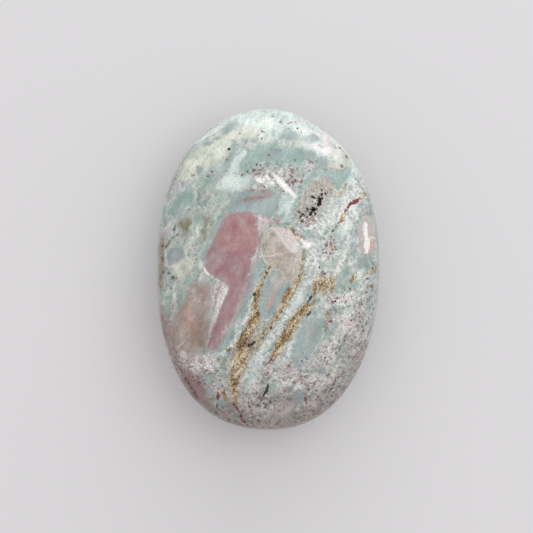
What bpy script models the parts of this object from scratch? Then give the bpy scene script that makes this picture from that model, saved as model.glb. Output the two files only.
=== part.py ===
"""A palm stone: one oval pebble of polished jasper, lying on the small flat spot of its back.

The stone is one solid. Its outline is an oval whose four quarters differ a little, as a hand-ground
stone's do, and its face and back are two shallow domes that meet at the waist. A patch of open pits
sits in the face, where the grinding opened a pocket of tiny quartz crystals.

Frame: metres, +Z up out of the face, +Y along the stone to its narrower end, +X to the right as one
looks down on the face. The origin is on the surface that the stone lies on, under its middle.
"""

import math

import bmesh
import bpy
from mathutils import Vector

MM = 0.001

# Driving dimensions
LENGTH = 70.0 * MM
WIDTH = 48.5 * MM
FACE_RISE = 12.1 * MM  # from the waist to the top of the face
BACK_DROP = 12.05 * MM  # from the waist to where the back's dome would end
FLAT_CUT = 0.15 * MM  # how much of the back's dome the flat spot takes away
DOME_POWER = 2.2  # 2 is an ellipse, and more is a fuller waist with a flatter face

# The outline's quarters, as superellipse powers: 2 is an ellipse, and more is squarer
POWER_UPPER_RIGHT = 2.15
POWER_UPPER_LEFT = 2.2
POWER_LOWER_LEFT = 2.4
POWER_LOWER_RIGHT = 2.15

# Where the outline leaves that oval: (angle round the outline, width of the place, share of the radius)
FLATTENED_SHOULDER = (math.radians(62), math.radians(14), -0.022)
FULLER_SIDE = (math.radians(20), math.radians(15), 0.008)

WAIST_HEIGHT = BACK_DROP - FLAT_CUT

# The pits: (X, Y, half-width, half-length, depth, lean to the right), in millimetres and degrees
PITS = {
    "crescent": (10.95, 14.6, 0.4, 0.95, 0.9, -5),
    "crescent_foot": (10.7, 13.8, 0.35, 0.4, 0.6, 0),
    "top_slit": (9.6, 15.4, 0.25, 0.6, 0.6, -80),
    "ring_pit": (11.4, 16.0, 0.3, 0.4, 0.5, 0),
    "ring_foot": (11.45, 15.2, 0.28, 0.3, 0.3, 0),
    "wide_pit": (9.6, 12.95, 0.42, 0.5, 0.8, 20),
    "wide_foot": (9.1, 11.9, 0.33, 0.6, 0.7, 15),
    "wide_side": (9.9, 11.8, 0.3, 0.35, 0.4, 0),
    "left_pit": (6.65, 12.15, 0.3, 0.3, 0.5, 0),
    "inner_pit": (7.3, 11.8, 0.28, 0.28, 0.5, 0),
    "middle_pit": (8.2, 13.0, 0.28, 0.3, 0.35, 0),
    "low_pit": (7.2, 10.2, 0.27, 0.45, 0.4, 90),
}
# The pitted patch, where the mesh is finer: centre, half-width, half-length and lean to the right
PATCH = (9.6, 13.2, 3.5, 4.7, 35)

COARSE_LEVELS = 5
PATCH_CUTS = 7


def blended_power(cosine, sine):
    """The superellipse power at an angle round the outline, turned smoothly from quarter to quarter."""
    upper, lower, right, left = 1 + sine, 1 - sine, 1 + cosine, 1 - cosine
    return (
        POWER_UPPER_RIGHT * upper * right
        + POWER_UPPER_LEFT * upper * left
        + POWER_LOWER_LEFT * lower * left
        + POWER_LOWER_RIGHT * lower * right
    ) / 4


def outline_reach(cosine, sine):
    """How far the outline reaches at an angle, where 1 is half the width or half the length."""
    power = blended_power(cosine, sine)
    reach = (abs(cosine) ** power + abs(sine) ** power) ** (-1 / power)
    for angle, width, share in (FLATTENED_SHOULDER, FULLER_SIDE):
        away = (math.atan2(sine, cosine) - angle) / width
        reach *= 1 + share * math.exp(-away * away)
    return reach


def on_stone(direction):
    """The point of the stone's skin that a unit direction from its middle stands for."""
    level = math.hypot(direction.x, direction.y)
    if level < 1e-9:
        cosine, sine = 1.0, 0.0
    else:
        cosine, sine = direction.x / level, direction.y / level
    dome = (level**DOME_POWER + abs(direction.z) ** DOME_POWER) ** (-1 / DOME_POWER)
    across = level * dome * outline_reach(cosine, sine)
    rise = FACE_RISE if direction.z > 0 else BACK_DROP
    return Vector(
        (
            WIDTH / 2 * across * cosine,
            LENGTH / 2 * across * sine,
            WAIST_HEIGHT + rise * direction.z * dome,
        )
    )


def from_centre(point, centre_x, centre_y, half_width, half_length, lean):
    """How far a point is from the centre of a leaning ellipse seen from above, where 1 is its rim."""
    turn = math.radians(lean)
    x, y = point.x / MM - centre_x, point.y / MM - centre_y
    across = x * math.cos(turn) - y * math.sin(turn)
    along = x * math.sin(turn) + y * math.cos(turn)
    return math.hypot(across / half_width, along / half_length)


def in_patch(face):
    """Whether a face of the unit ball lies in the pitted patch of the stone's face."""
    middle = face.calc_center_median().normalized()
    centre_x, centre_y, half_width, half_length, lean = PATCH
    point = on_stone(middle)
    return middle.z > 0 and from_centre(point, centre_x, centre_y, half_width, half_length, lean) < 1


def pit_depth(point):
    """How deep the pits are at a point of the face. Their walls are steep and their floors round."""
    deepest = 0.0
    for centre_x, centre_y, half_width, half_length, depth, lean in PITS.values():
        away = from_centre(point, centre_x, centre_y, half_width, half_length, lean)
        if away < 1:
            deepest = max(deepest, depth * MM * math.sqrt(1 - away * away))
    return deepest


def ball(mesh):
    """A unit ball of even triangles, finer where the pitted patch will be."""
    bmesh.ops.create_icosphere(mesh, subdivisions=COARSE_LEVELS, radius=1.0)
    patch = [face for face in mesh.faces if in_patch(face)]
    edges = list({edge for face in patch for edge in face.edges})
    bmesh.ops.subdivide_edges(mesh, edges=edges, cuts=PATCH_CUTS, use_grid_fill=True)
    bmesh.ops.triangulate(mesh, faces=mesh.faces)
    for vertex in mesh.verts:
        vertex.co.normalize()


def shape_stone(mesh):
    """Moves the ball's points to the stone's skin, and presses the pits into the face."""
    for vertex in mesh.verts:
        faces_up = vertex.co.z > 0
        vertex.co = on_stone(vertex.co)
        if faces_up:
            vertex.co.z -= pit_depth(vertex.co)


def cut_flat_spot(mesh):
    """Cuts the lowest of the back away at the level of the surface, and closes the cut."""
    everything = mesh.verts[:] + mesh.edges[:] + mesh.faces[:]
    cut = bmesh.ops.bisect_plane(
        mesh,
        geom=everything,
        dist=1e-6,
        plane_co=(0, 0, 0),
        plane_no=(0, 0, -1),
        clear_outer=True,
    )
    rim = [item for item in cut["geom_cut"] if isinstance(item, bmesh.types.BMEdge)]
    bmesh.ops.holes_fill(mesh, edges=rim)
    bmesh.ops.recalc_face_normals(mesh, faces=mesh.faces)


def polished_jasper():
    """Opaque, fine-grained quartz rock of a pale blue-green, with a soft polish."""
    material = bpy.data.materials.new("polished_jasper")
    material.use_nodes = True
    shader = material.node_tree.nodes["Principled BSDF"]
    shader.inputs["Base Color"].default_value = (0.42, 0.52, 0.48, 1)
    shader.inputs["Roughness"].default_value = 0.25
    shader.inputs["Metallic"].default_value = 0
    return material


def palm_stone():
    mesh = bmesh.new()
    ball(mesh)
    shape_stone(mesh)
    cut_flat_spot(mesh)
    data = bpy.data.meshes.new("palm_stone")
    mesh.to_mesh(data)
    mesh.free()
    data.shade_smooth()
    data.set_sharp_from_angle(angle=math.radians(30))
    data.materials.append(polished_jasper())
    stone = bpy.data.objects.new("palm_stone", data)
    bpy.context.scene.collection.objects.link(stone)
    return stone


for old in list(bpy.data.objects):
    bpy.data.objects.remove(old)
palm_stone()
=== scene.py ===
"""The looks of a palm stone: one oval pebble of polished jasper, lying on its back on a pale floor.

The stone's skin is worked out by the same formula as its solid, with a finer mesh. Its pattern is that
of a rock: each mineral has a share of the surface at each point, and its grains take up that share.
The shares are drawn as outlines, routes, ovals and dots, in millimetres on the stone's face,
and the grains, streaks and clouds are solid noise in the material.
"""

import math

import bmesh
import bpy
import numpy as np
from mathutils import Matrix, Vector, noise


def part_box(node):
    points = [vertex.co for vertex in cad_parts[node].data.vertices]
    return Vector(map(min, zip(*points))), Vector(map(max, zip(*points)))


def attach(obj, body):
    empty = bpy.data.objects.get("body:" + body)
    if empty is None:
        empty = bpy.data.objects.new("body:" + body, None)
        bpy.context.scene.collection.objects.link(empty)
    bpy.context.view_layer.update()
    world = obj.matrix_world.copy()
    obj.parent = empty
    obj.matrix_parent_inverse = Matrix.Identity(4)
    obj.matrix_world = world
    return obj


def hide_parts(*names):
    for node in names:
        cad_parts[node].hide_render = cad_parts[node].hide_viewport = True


bl_info = {
    "name": "Palm stone",
    "version": (1, 0, 0),
    "blender": (4, 5, 0),
    "location": "View3D > Sidebar > Palm stone",
    "description": "Makes an oval palm stone of polished jasper and the stage that it is shown on",
    "category": "Add Mesh",
}

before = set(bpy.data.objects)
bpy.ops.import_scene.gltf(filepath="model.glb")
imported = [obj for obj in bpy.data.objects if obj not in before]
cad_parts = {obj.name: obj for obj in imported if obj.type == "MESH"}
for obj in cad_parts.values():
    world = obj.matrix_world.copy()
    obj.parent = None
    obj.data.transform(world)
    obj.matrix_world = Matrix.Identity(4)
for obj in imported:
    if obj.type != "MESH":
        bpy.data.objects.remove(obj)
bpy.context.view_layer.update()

MM = 0.001
NODE = "palm_stone"
STONE_LOW, STONE_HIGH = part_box(NODE)

# The form, as in the part's source. The outline's quarters are superellipse powers: 2 is an ellipse
FACE_SHARE = 12.1 / 24.0  # how much of the thickness stands above the waist
FLAT_CUT = 0.15 * MM
DOME_POWER = 2.2
POWER_UPPER_RIGHT = 2.15
POWER_UPPER_LEFT = 2.2
POWER_LOWER_LEFT = 2.4
POWER_LOWER_RIGHT = 2.15
FLATTENED_SHOULDER = (math.radians(62), math.radians(14), -0.022)
FULLER_SIDE = (math.radians(20), math.radians(15), 0.008)

# The pits: (X, Y, half-width, half-length, depth, lean to the right), in millimetres and degrees
PITS = (
    (10.95, 14.6, 0.4, 0.95, 0.9, -5),
    (10.7, 13.8, 0.35, 0.4, 0.6, 0),
    (9.6, 15.4, 0.25, 0.6, 0.6, -80),
    (11.4, 16.0, 0.3, 0.4, 0.5, 0),
    (11.45, 15.2, 0.28, 0.3, 0.3, 0),
    (9.6, 12.95, 0.42, 0.5, 0.8, 20),
    (9.1, 11.9, 0.33, 0.6, 0.7, 15),
    (9.9, 11.8, 0.3, 0.35, 0.4, 0),
    (6.65, 12.15, 0.3, 0.3, 0.5, 0),
    (7.3, 11.8, 0.28, 0.28, 0.5, 0),
    (8.2, 13.0, 0.28, 0.3, 0.35, 0),
    (7.2, 10.2, 0.27, 0.45, 0.4, 90),
)
EDGE_CHIPS = 0.3 * MM  # the size of the chips that make the pits' edges ragged
CHIP_SHIFT, CHIP_STRENGTH = 0.05, 0.6  # how far they move an edge, as shares of a pit's half-width
# The pitted patch, where the mesh is finer: centre, half-width, half-length and lean to the right
PATCH = (9.6, 13.2, 3.5, 4.7, 35)

SHARP_ANGLE = math.radians(40)  # faces that meet at more than this show an edge
BALL_LEVELS = 7
FINE_LEVEL = 0.35  # the height on the unit ball above which the face's mesh is twice as fine

# How the rock lies: below the face's shoulder its layers slide sideways as they go down
SHOULDER = 2.0  # millimetres above the waist where that starts
SLIDE = (0.55, -0.35)
FACE_REACH = 8.0  # millimetres below the shoulder where the face's own patches end
FACE_FADE = 4.0  # millimetres over which they end
FACE_ONLY = (
    "rose", "wine", "veil", "lace", "cracks", "tint", "quartz", "frost", "grit", "halo", "white", "black",
    "maroon", "olive", "peach", "dusk",
)
WOBBLE_SIZE, WOBBLE = 2.5 * MM, 0.25  # how widely and how far the marks' edges wander, in millimetres
DRIFT_SIZE, DRIFT = 16 * MM, 0.35  # how widely the slide changes, and by how much

# The marks' places were read as they look from above, where what lies higher looks further out
VIEW_HEIGHT = 450.0  # millimetres above the waist
VIEW_CENTRE = (-0.37, 0.62)

# Painted shade in the pits: they darken with depth, by how much at most, the depth that starts it, and the
# further depth that it takes, in millimetres
PIT_DARK, PIT_DARK_FROM, PIT_DARK_OVER = 0.85, 0.15, 0.35

# The stage: half the floor's width in metres, the fibres of its card, and the lights' sizes and places
FLOOR_REACH = 1.5
FIBRES_PER_MM, FIBRE_SHADE = 0.9, 0.985
WINDOW = {"size": (1.4, 0.5), "place": (0.15, 1.1, 0.34)}
OVERHEAD = {"size": (0.8, 0.8), "place": (0.5, 0.3, 0.9)}
SENSOR = 36  # the camera's sensor, in millimetres

# What each mineral is, and its deep, middle and light tone
TONES = ("deep", "mid", "light")
MINERALS = {
    "ground": ("the white and grey-green grains of the ground", "#728d87", "#a9b3ae", "#e6e7e3"),
    "clay": ("the warmer grains lower down", "#7c686c", "#b8acaa", "#efeae9"),
    "milk": ("the milky chalcedony", "#a0b6b2", "#c6d2cd", "#ecefeb"),
    "cream": ("the greenish cream fields", "#a6ada2", "#c6cbbe", "#e8e8de"),
    "lilac": ("the lilac grains", "#8b7c81", "#bfb4b3", "#f0ecec"),
    "teal": ("the smooth green-grey chalcedony", "#7b9289", "#91a7a1", "#adbdba"),
    "slate": ("the blue-grey chalcedony", "#82908f", "#94a3a2", "#adbab9"),
    "tan": ("the beige-grey chalcedony", "#8c7c74", "#a3958e", "#bab3ad"),
    "olive": ("the olive stain", "#565130", "#726d4e", "#928c70"),
    "peach": ("the peach streaks", "#a98a7a", "#bf9f8b", "#d2b8a5"),
    "mauve": ("the grey-mauve stone", "#906e72", "#a08183", "#ac9d9a"),
    "rose": ("the warm rose stone", "#9b6c72", "#a98080", "#b49692"),
    "wine": ("the deepest red of the rose patch", "#8a5059", "#995f66", "#a67377"),
    "veil": ("the grey haze in the stone", "#a19b9b", "#b7b0ae", "#d2cdcb"),
    # Lace also lays a soft glow of painted highlight round the white streak, the white blob and the flash
    "lace": ("the white threads in the stone", "#bfb8b7", "#d9d5d4", "#f1efee"),
    "dust": ("the fine mauve and iron-red specks", "#62333b", "#8c7277", "#c9babc"),
    "quartz": ("the milky quartz patch", "#90887d", "#b2a89f", "#cfc7c0"),
    "frost": ("the frosted part of the quartz", "#bdb2ae", "#d2c8c4", "#e8e2df"),
    "cracks": ("the healed cracks in the quartz", "#c8beb7", "#d4cbc5", "#e2dcd7"),
    "tint": ("the brown stain in the quartz", "#7f6a57", "#98846e", "#ac9b87"),
    # One tiny orange glint among the ochre marks is a painted highlight
    "ochre": ("the golden-brown iron stain of the veins", "#47320f", "#a38352", "#e2d6c4"),
    "grit": ("the sugary crystals round the pits", "#968f88", "#a9a49e", "#bebab3"),
    "halo": ("the ring of the eye", "#b59d91", "#c9a798", "#d8b9ab"),
    "maroon": ("the dark red specks", "#4d2024", "#742f35", "#92575a"),
    # The white also paints highlights: the spindle on the right edge, a streak, a blob and a flash
    "white": ("the white quartz", "#dad4d3", "#ece7e5", "#faf8f6"),
    # The black is painted shade in the pits and in the hollows of the pitted patch, and elsewhere the stone's
    # own dark slivers and specks
    "black": ("the pits' floors and the dark green slivers", "#0a0c0b", "#141816", "#222b28"),
}

# Each row of marks is a kind, the softness of their edges in millimetres, their mineral's share there,
# and the shapes. An outline is a closed row of points, and a route is a row of points with half-widths.
# An oval is X, Y, half-width, half-length and its lean to the right in degrees, if it leans. A shape of
# dots is the radius that they share, and their places. Calm evens the ground out, pale lifts it, and the
# last marks darken all that lies there: painted shade with a warm painted reflection along the lower rim
# and the left edge, in part over the stone's own brown stain.
FACE_MARKS = {
    "calm": (
        ("ovals", 4, 0.8, (-16, 14, 7, 13, 10), (1, 30, 6, 15, 90), (-9, 19, 4, 7, 60)),
        ("ovals", 2, 0.8, (-20, -6, 3, 6, 10), (18, -1, 1.4, 3, 40), (2.6, -32, 1.4, 3.4, 90)),
        ("ovals", 2, 0.45, (9, -15, 3, 6, 20), (-14.5, -9, 3, 9, 5)),
    ),
    "clay": (
        ("outlines", 4, 0.5, ((-15, -21), (-4, -23), (4, -20.5), (10, -17.5), (13, -9), (22, -5), (27, -14),
         (20, -32), (0, -40), (-18, -34))),
        ("outlines", 3, 0.4, ((-20, -30), (-10, -31), (2, -31.5), (10, -29), (17, -24), (24, -16), (20, -38),
         (-16, -38))),
        ("outlines", 2, 0.75, ((-26, -8), (-21, -8.5), (-18.6, -8), (-16.4, -2.5), (-13, -2.5), (-13.5, -17),
         (-20, -26), (-27, -16))),
        ("ovals", 1.5, 0.5, (13.2, 4.6, 1.6, 2.8), (-22, 8, 1.2, 1.8, 10), (-16.2, 13, 0.6, 1, 90),
         (-14.8, -0.4, 0.8, 1.4)),
        ("ovals", 1.5, 0.4, (0, 20.2, 2.4, 6, 90), (6, 20, 2, 3), (-19.6, 19, 1.2, 2.2, 20)),
    ),
    "pale": (
        ("routes", 1.2, 0.5, ((8.7, 2, 0.7), (8.2, -3, 1.1), (6.4, -6.5, 1.3), (4.4, -9.8, 1),
         (2, -13.4, 0.9), (-0.6, -16.6, 1), (-2.8, -20.6, 1.5), (-4, -25, 1.5))),
        ("routes", 0.9, 0.5, ((8.9, -11, 0.4), (6.3, -14.6, 0.7), (4.4, -18, 0.8), (2.6, -20.8, 0.8))),
        ("routes", 0.8, 0.8, ((13.6, -6.3, 0.6), (16, -6.6, 1.3), (20, -6, 1))),
        ("routes", 0.7, 0.7, ((13.2, -7.2, 0.3), (12.8, -8.2, 0.5))),
        ("routes", 0.7, 0.65, ((21.6, -2, 0.6), (19.6, -6.5, 0.9), (17.3, -10, 0.9))),
        ("routes", 0.6, 0.8, ((18.9, 6.6, 0.4), (17.6, 5.2, 0.5), (16.6, 3.2, 0.6), (15.8, 1, 0.6),
         (14.6, -0.6, 0.6))),
        ("routes", 0.5, 0.6, ((-1.6, -1.4, 0.2), (-2.6, -2.8, 0.3), (-3.6, -6.4, 0.35), (-4.4, -9.8, 0.4),
         (-5.8, -13, 0.4), (-7.6, -16.2, 0.5), (-10.6, -18.6, 0.7))),
        ("ovals", 3, 0.55, (1, 32.5, 5, 15, 90)),
        ("ovals", 3, 0.25, (-14, 23, 4, 8, 40)),
        ("ovals", 2, 0.7, (17.6, 13.4, 2.6, 6.5, 20), (13.6, 11.5, 1.6, 4, 35), (19, 18.6, 1.8, 2.6)),
        ("ovals", 2, 0.4, (13.6, -16.5, 1.6, 5, 25), (-14.5, -20.5, 4, 2), (5, -24, 2, 3, 60),
         (1.6, -23.6, 2, 2.6), (10.4, -23.6, 1.4, 3, 60)),
        ("ovals", 1.5, 0.6, (10.3, 3, 1.4, 4, 5), (-1, 19.8, 1.4, 3, 90)),
        ("ovals", 1.5, 0.4, (12.3, -2.6, 1.4, 1.8, 90)),
        ("ovals", 1.4, 0.5, (16.2, 4.6, 1.5, 3.4, 20), (12.4, 1.4, 2.2, 1.4), (11.4, 8.4, 1.2, 2, 20),
         (17.8, 1.2, 1, 1.4)),
        ("ovals", 0.5, 0.8, (-21.6, 8.8, 0.8, 1.6, 10), (6.5, -25.7, 0.5, 1.2, 90)),
    ),
    "milk": (
        ("outlines", 1.4, 0.85, ((-9, 32), (-5, 34.2), (0, 35.6), (6, 34.6), (11, 32), (14.4, 28.8),
         (14.4, 26.2), (12.6, 25.3), (9, 25.8), (7, 27.2), (6.6, 29.6), (3, 31.6), (2.4, 28.6), (0.4, 28.4),
         (-1.6, 28.4), (-3, 30.6), (-6, 32))),
        ("routes", 1, 0.85, ((-9.6, 18.4, 0.7), (-7.7, 21.6, 0.8), (-6.8, 23.8, 0.7), (-5.4, 25.4, 0.45))),
        ("routes", 0.8, 0.7, ((7.6, 32.8, 0.4), (10.4, 31.6, 0.4), (12.8, 30, 0.5), (14.2, 28.6, 0.4))),
        ("routes", 0.6, 0.9, ((12, 30.8, 0.6), (14.4, 28.6, 0.6), (18.4, 23, 0.8), (20, 21, 0.7))),
        ("routes", 0.5, 0.8, ((-15.6, 27.6, 0.3), (-12.6, 29.8, 0.45), (-9, 32.2, 0.5), (-6, 33.6, 0.5))),
        ("ovals", 1.6, 0.7, (-7.4, 18.8, 1.4, 3.4, 75), (3.9, 14, 1.6, 3.4, 25), (-4, 30.8, 1.6, 2.2, 20)),
        ("ovals", 1.2, 0.5, (17, 19.6, 1, 2.6, 30), (16.6, 8.4, 1, 2.4, 35), (-3.8, -22.5, 1.2, 3.4, 15),
         (6.4, -6.8, 0.9, 2.6, 32)),
        ("ovals", 0.8, 0.7, (-14.7, 1.1, 0.6, 0.9), (-20.4, -6, 0.3, 0.9)),
        ("ovals", 0.6, 0.8, (-18.5, 13.8, 0.5, 1.1, 60), (19.8, -1.2, 0.6, 1.6, 40),
         (12, 25.7, 0.8, 1.6, 75), (-15.4, 8.4, 0.3, 1.2, 5)),
    ),
    "cream": (
        ("outlines", 2.2, 0.66, ((-20.9, 0.6), (-19.2, 1.8), (-17.4, 2.8), (-15.8, 2.4), (-16, 1),
         (-16.8, -0.4), (-17.6, -1.4), (-18.8, -2.6), (-19.6, -2.2), (-20.6, -0.9))),
        ("outlines", 1.4, 0.75, ((-19.6, 19.6), (-18.6, 22.6), (-16, 26), (-12.5, 28.8), (-9, 30.4),
         (-5.5, 31.2), (-3, 31), (-3, 29.4), (-5.6, 28.6), (-7.4, 28), (-9, 26), (-10, 24.4), (-12, 22.9),
         (-13.6, 21.6), (-15.2, 20.6), (-17.6, 19.4))),
        ("outlines", 1.1, 1, ((13.2, 24.4), (13.9, 25.7), (15.2, 26.2), (16.8, 25.6), (17.6, 24.4),
         (17.8, 23.1), (17, 22.6), (16.2, 21.8), (15, 21.9), (14.2, 22.3), (13.4, 22.3), (13, 23.2))),
        ("routes", 0.8, 0.42, ((-9.6, 13.4, 0.5), (-11.4, 11.6, 0.5), (-13, 7.8, 0.6), (-14.3, 4.6, 0.6))),
        ("routes", 0.3, 0.9, ((14.8, 27.6, 0.3), (16.2, 26.6, 0.35), (17.3, 25.2, 0.35), (17.9, 24.2, 0.3))),
        ("ovals", 1.8, 0.35, (-17.4, 5.6, 1.8, 3.4, 20), (-21.4, 16.4, 0.5, 1.7, 15), (-15, 4.6, 0.5, 1.8),
         (-16.8, 12.2, 0.8, 1.2, 80)),
        ("ovals", 1.8, 0.3, (-9.6, 16.4, 1.6, 2.4, 30)),
        ("ovals", 1.2, 0.36, (-0.4, 32, 1.8, 2.4, 90), (-3.2, 26.9, 0.6, 1.2, 60)),
        ("ovals", 1, 0.6, (6.9, 28.4, 0.7, 1.8, 5), (-17.4, 23.4, 0.9, 1.4, 45), (-3.8, 30.4, 1.2, 1.6, 20)),
    ),
    "teal": (
        ("outlines", 1.2, 0.95, ((-6, 20.2), (-5.6, 22.8), (-4.4, 25.4), (-2.6, 26.8), (-0.6, 27.5),
         (1.4, 27.4), (3, 27), (5, 26.6), (7.6, 26.4), (8.2, 25), (7.8, 22.8), (5.6, 22.8), (3, 23.4),
         (0, 23.6), (-2.8, 23.8), (-4.4, 22.4), (-4.8, 20.4))),
        ("outlines", 1, 0.75, ((-20.1, 15.6), (-19.6, 16.9), (-17, 17.4), (-16.2, 16.4), (-16.4, 14),
         (-17.4, 12.9), (-19, 12), (-20.6, 11.6), (-22, 11.8), (-22.8, 13), (-21.2, 13.8), (-20.6, 14.6))),
        ("outlines", 0.9, 0.9, ((11, 21), (12.4, 21.4), (14.6, 21.2), (17, 21.6), (17.8, 22.4), (18, 20.8),
         (17, 19.4), (16, 17.8), (15, 17.2), (14.6, 18.6), (13, 20), (11.6, 19.9))),
        ("outlines", 0.4, 1, ((-22, 3.4), (-20.9, 4.8), (-18.7, 4.7), (-18.1, 3), (-19.2, 2.2), (-20.6, 1.2),
         (-21.9, 0.9))),
        ("routes", 1.1, 0.75, ((-7.4, 27.6, 0.6), (-7.6, 25.8, 0.9), (-8.8, 23.4, 0.9), (-10.2, 22, 0.8),
         (-12, 20.6, 0.8), (-13.4, 19, 0.9), (-14.4, 17.6, 0.6))),
        ("routes", 0.8, 0.75, ((-5.4, -5.4, 0.3), (-6.4, -8.4, 0.5), (-7.6, -12, 0.6), (-8.9, -15.6, 0.7),
         (-10.6, -17.8, 0.6))),
        ("routes", 0.5, 0.9, ((-22.6, 13.5, 0.4), (-22.7, 11, 0.5), (-22.6, 9.6, 0.45))),
        ("ovals", 2, 0.5, (7.4, -16.4, 1.4, 3.4, 20)),
        ("ovals", 2, 0.42, (-11.6, 15, 1.8, 2, 30), (-15, 14.6, 1, 2, 20)),
        ("ovals", 1, 0.5, (-16.4, 24.6, 0.7, 1.6, 45), (-12.8, 24.8, 0.5, 1.4, 45),
         (-10.6, 27.2, 0.4, 1.4, 50), (-17.8, 21.4, 0.6, 1.2, 30), (-14.2, 22.6, 0.5, 1, 45),
         (-8.2, 29.4, 0.4, 1.2, 60), (-11.6, 13.4, 0.5, 1.4, 20)),
        ("ovals", 0.9, 0.62, (16.3, -16.6, 0.6, 1.5, 20), (15.3, -19.2, 0.5, 1.5, 20),
         (14.2, -21.2, 0.4, 0.8, 20), (12, -22.5, 0.6, 1.2, 90), (17.4, -13.8, 0.4, 0.8, 30),
         (12.6, -14.4, 0.6, 1.6, 20), (13.9, -9.2, 0.5, 1, 10), (21.4, -8, 0.5, 1.6, 10),
         (17.8, -9, 0.5, 1.4, 20), (-4.8, -25.4, 0.7, 1.8, 15), (5.4, -25.8, 0.6, 1.4, 40),
         (9.4, -22.2, 0.6, 1.2, 60), (-3.4, -20.8, 0.6, 1.8, 30), (1.6, -27.4, 0.6, 1.2, 60),
         (17.4, -21, 0.5, 1.2, 30), (-9, -26, 0.6, 1.2), (20, -13, 0.4, 1, 20), (2.2, -17.6, 0.5, 1.4, 30),
         (6.8, -15.6, 0.4, 1.2, 20)),
        ("ovals", 0.8, 0.7, (1.2, 29.8, 0.5, 1), (4.5, 30, 1.1, 1.4, 20), (15.4, 5.9, 0.5, 0.9, 10),
         (-22, -9.2, 0.9, 1.5), (-19.3, -7.4, 0.7, 2.4, 12), (-20.2, -11, 0.7, 1.4, 20), (5.2, 20, 0.4, 0.6),
         (0.6, 33.6, 0.5, 0.7, 60), (-2.8, 21.6, 0.6, 1.2, 60), (2, 18.8, 0.5, 1, 45),
         (-10.4, 16.4, 0.6, 1.6, 70), (3.2, 11.8, 0.6, 1.4, 30), (-11.8, -28.4, 0.35, 0.5),
         (8.2, 9.6, 0.5, 1.4, 60), (0.7, -26.4, 0.7, 0.9), (1.2, -28.6, 0.9, 0.4, 30),
         (-0.3, -29.6, 0.5, 0.9, 60)),
        ("ovals", 0.6, 0.85, (-14.9, 21.5, 0.8, 1.1, 20), (-15.6, 10.9, 0.7, 1.2, 10),
         (-17, 7.8, 0.5, 0.8, 30), (8.9, 7.5, 0.7, 1, 60), (14.4, 1.4, 0.5, 1.1, -5),
         (16.9, -0.6, 0.9, 1.6, 20), (15.4, -3, 0.5, 1.3, 10), (19.2, -3.2, 0.6, 1.1, 30),
         (11.4, -12.4, 0.7, 2, 15), (20.3, -5.4, 0.5, 1.2, 40), (19, -7.6, 0.5, 1.4, 30),
         (-5, 21.2, 0.6, 1.2, 20), (-17.6, -2.6, 0.8, 1.3, 10), (-21.8, -6.2, 0.5, 1, 95),
         (1, -25.8, 0.9, 1, 90), (-0.8, -24.4, 0.6, 0.8)),
        ("ovals", 0.5, 0.8, (3.8, 30.4, 0.6, 0.8), (5.4, 29.4, 0.8, 0.9), (1.2, 29.7, 0.45, 0.9),
         (16.4, -17, 0.5, 1, 20), (15, -20, 0.4, 1, 20)),
        ("dots", 2, 0.5, (2.2, (-11.4, 15.2))),
        ("dots", 0.8, 0.7, (0.6, (-0.3, -25.4))),
    ),
    "slate": (
        ("outlines", 1.6, 0.55, ((8, -11.4), (9.6, -10.9), (11, -12), (11.6, -14), (11, -16.6), (10, -18.4),
         (8.6, -20), (7.4, -21.4), (6.4, -21.8), (5.4, -20), (5.6, -17), (6.4, -14), (7.2, -12.4))),
        ("outlines", 1, 0.95, ((-14.4, 2.6), (-13.4, 5.4), (-12.4, 8), (-10.8, 10.8), (-9, 12.6), (-8, 15.4),
         (-6.4, 16.8), (-3, 17.1), (0.4, 17.5), (2, 16), (2.2, 13.6), (1, 12.2), (-1.5, 10), (-9, 9),
         (-10.4, 5), (-13, 1.6))),
        ("outlines", 0.6, 0.5, ((1.2, 0), (3, -1), (4.2, -3.6), (3.8, -5.3), (2.6, -7.2), (1.4, -9.2),
         (0.2, -11), (-1.6, -11.2), (-2, -8), (-1.2, -6), (-0.6, -3.3), (0.2, -1.2))),
        ("outlines", 0.4, 0.6, ((-22, 3.4), (-21, 4.9), (-19.8, 4.4), (-19.2, 4.2), (-18.7, 4.7), (-18.1, 3),
         (-19.2, 2.2), (-20.6, 1.2), (-21.9, 0.9))),
        ("routes", 0.8, 0.62, ((-1.4, 1.6, 0.5), (-2.6, -0.4, 0.9), (-4, -3.4, 0.9), (-5.2, -7, 0.6),
         (-5.8, -9.4, 0.5))),
        ("routes", 0.7, 0.6, ((11.2, 22.4, 0.4), (10, 21, 0.5), (8.4, 19.2, 0.4))),
        ("ovals", 1.1, 0.7, (-8.5, 30.8, 0.8, 2, 50), (9.4, 28.6, 1, 2, 85), (4.6, 29.2, 0.9, 1.8, 80),
         (6.6, -27.6, 1.2, 1.6, 50), (-13.2, -24.2, 0.6, 1.4, -10), (18.4, 5.2, 0.7, 1.3),
         (20.6, 1.8, 0.8, 1.4, 30), (9.2, 25.2, 0.8, 1.3, 80), (12, 23.2, 0.8, 0.9), (1.5, 25.8, 0.9, 2, 90),
         (11.8, -22.4, 0.6, 1, 90)),
        ("ovals", 0.6, 0.65, (-11.2, 28.7, 0.4, 1.1, 75), (-13, 27.5, 0.5, 1.2, 70),
         (-4.9, 27.9, 0.4, 0.8, 20), (-10, -29.3, 0.7, 0.8), (-12.6, -26.6, 0.7, 0.8),
         (-18.6, 18.6, 0.4, 0.5), (-14.5, 14, 0.9, 1.2, 70), (-2.8, 28.1, 0.25, 0.35),
         (14.2, -12.8, 0.5, 1.4, 30), (5.4, 17.2, 0.5, 1.2, 20)),
    ),
    "lilac": (
        ("outlines", 1, 0.8, ((-18.6, -19.6), (-17, -19), (-14, -18.4), (-12, -19), (-11.4, -20.6),
         (-11.8, -22.2), (-13.6, -23), (-16.2, -22.6), (-18, -21.4))),
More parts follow.
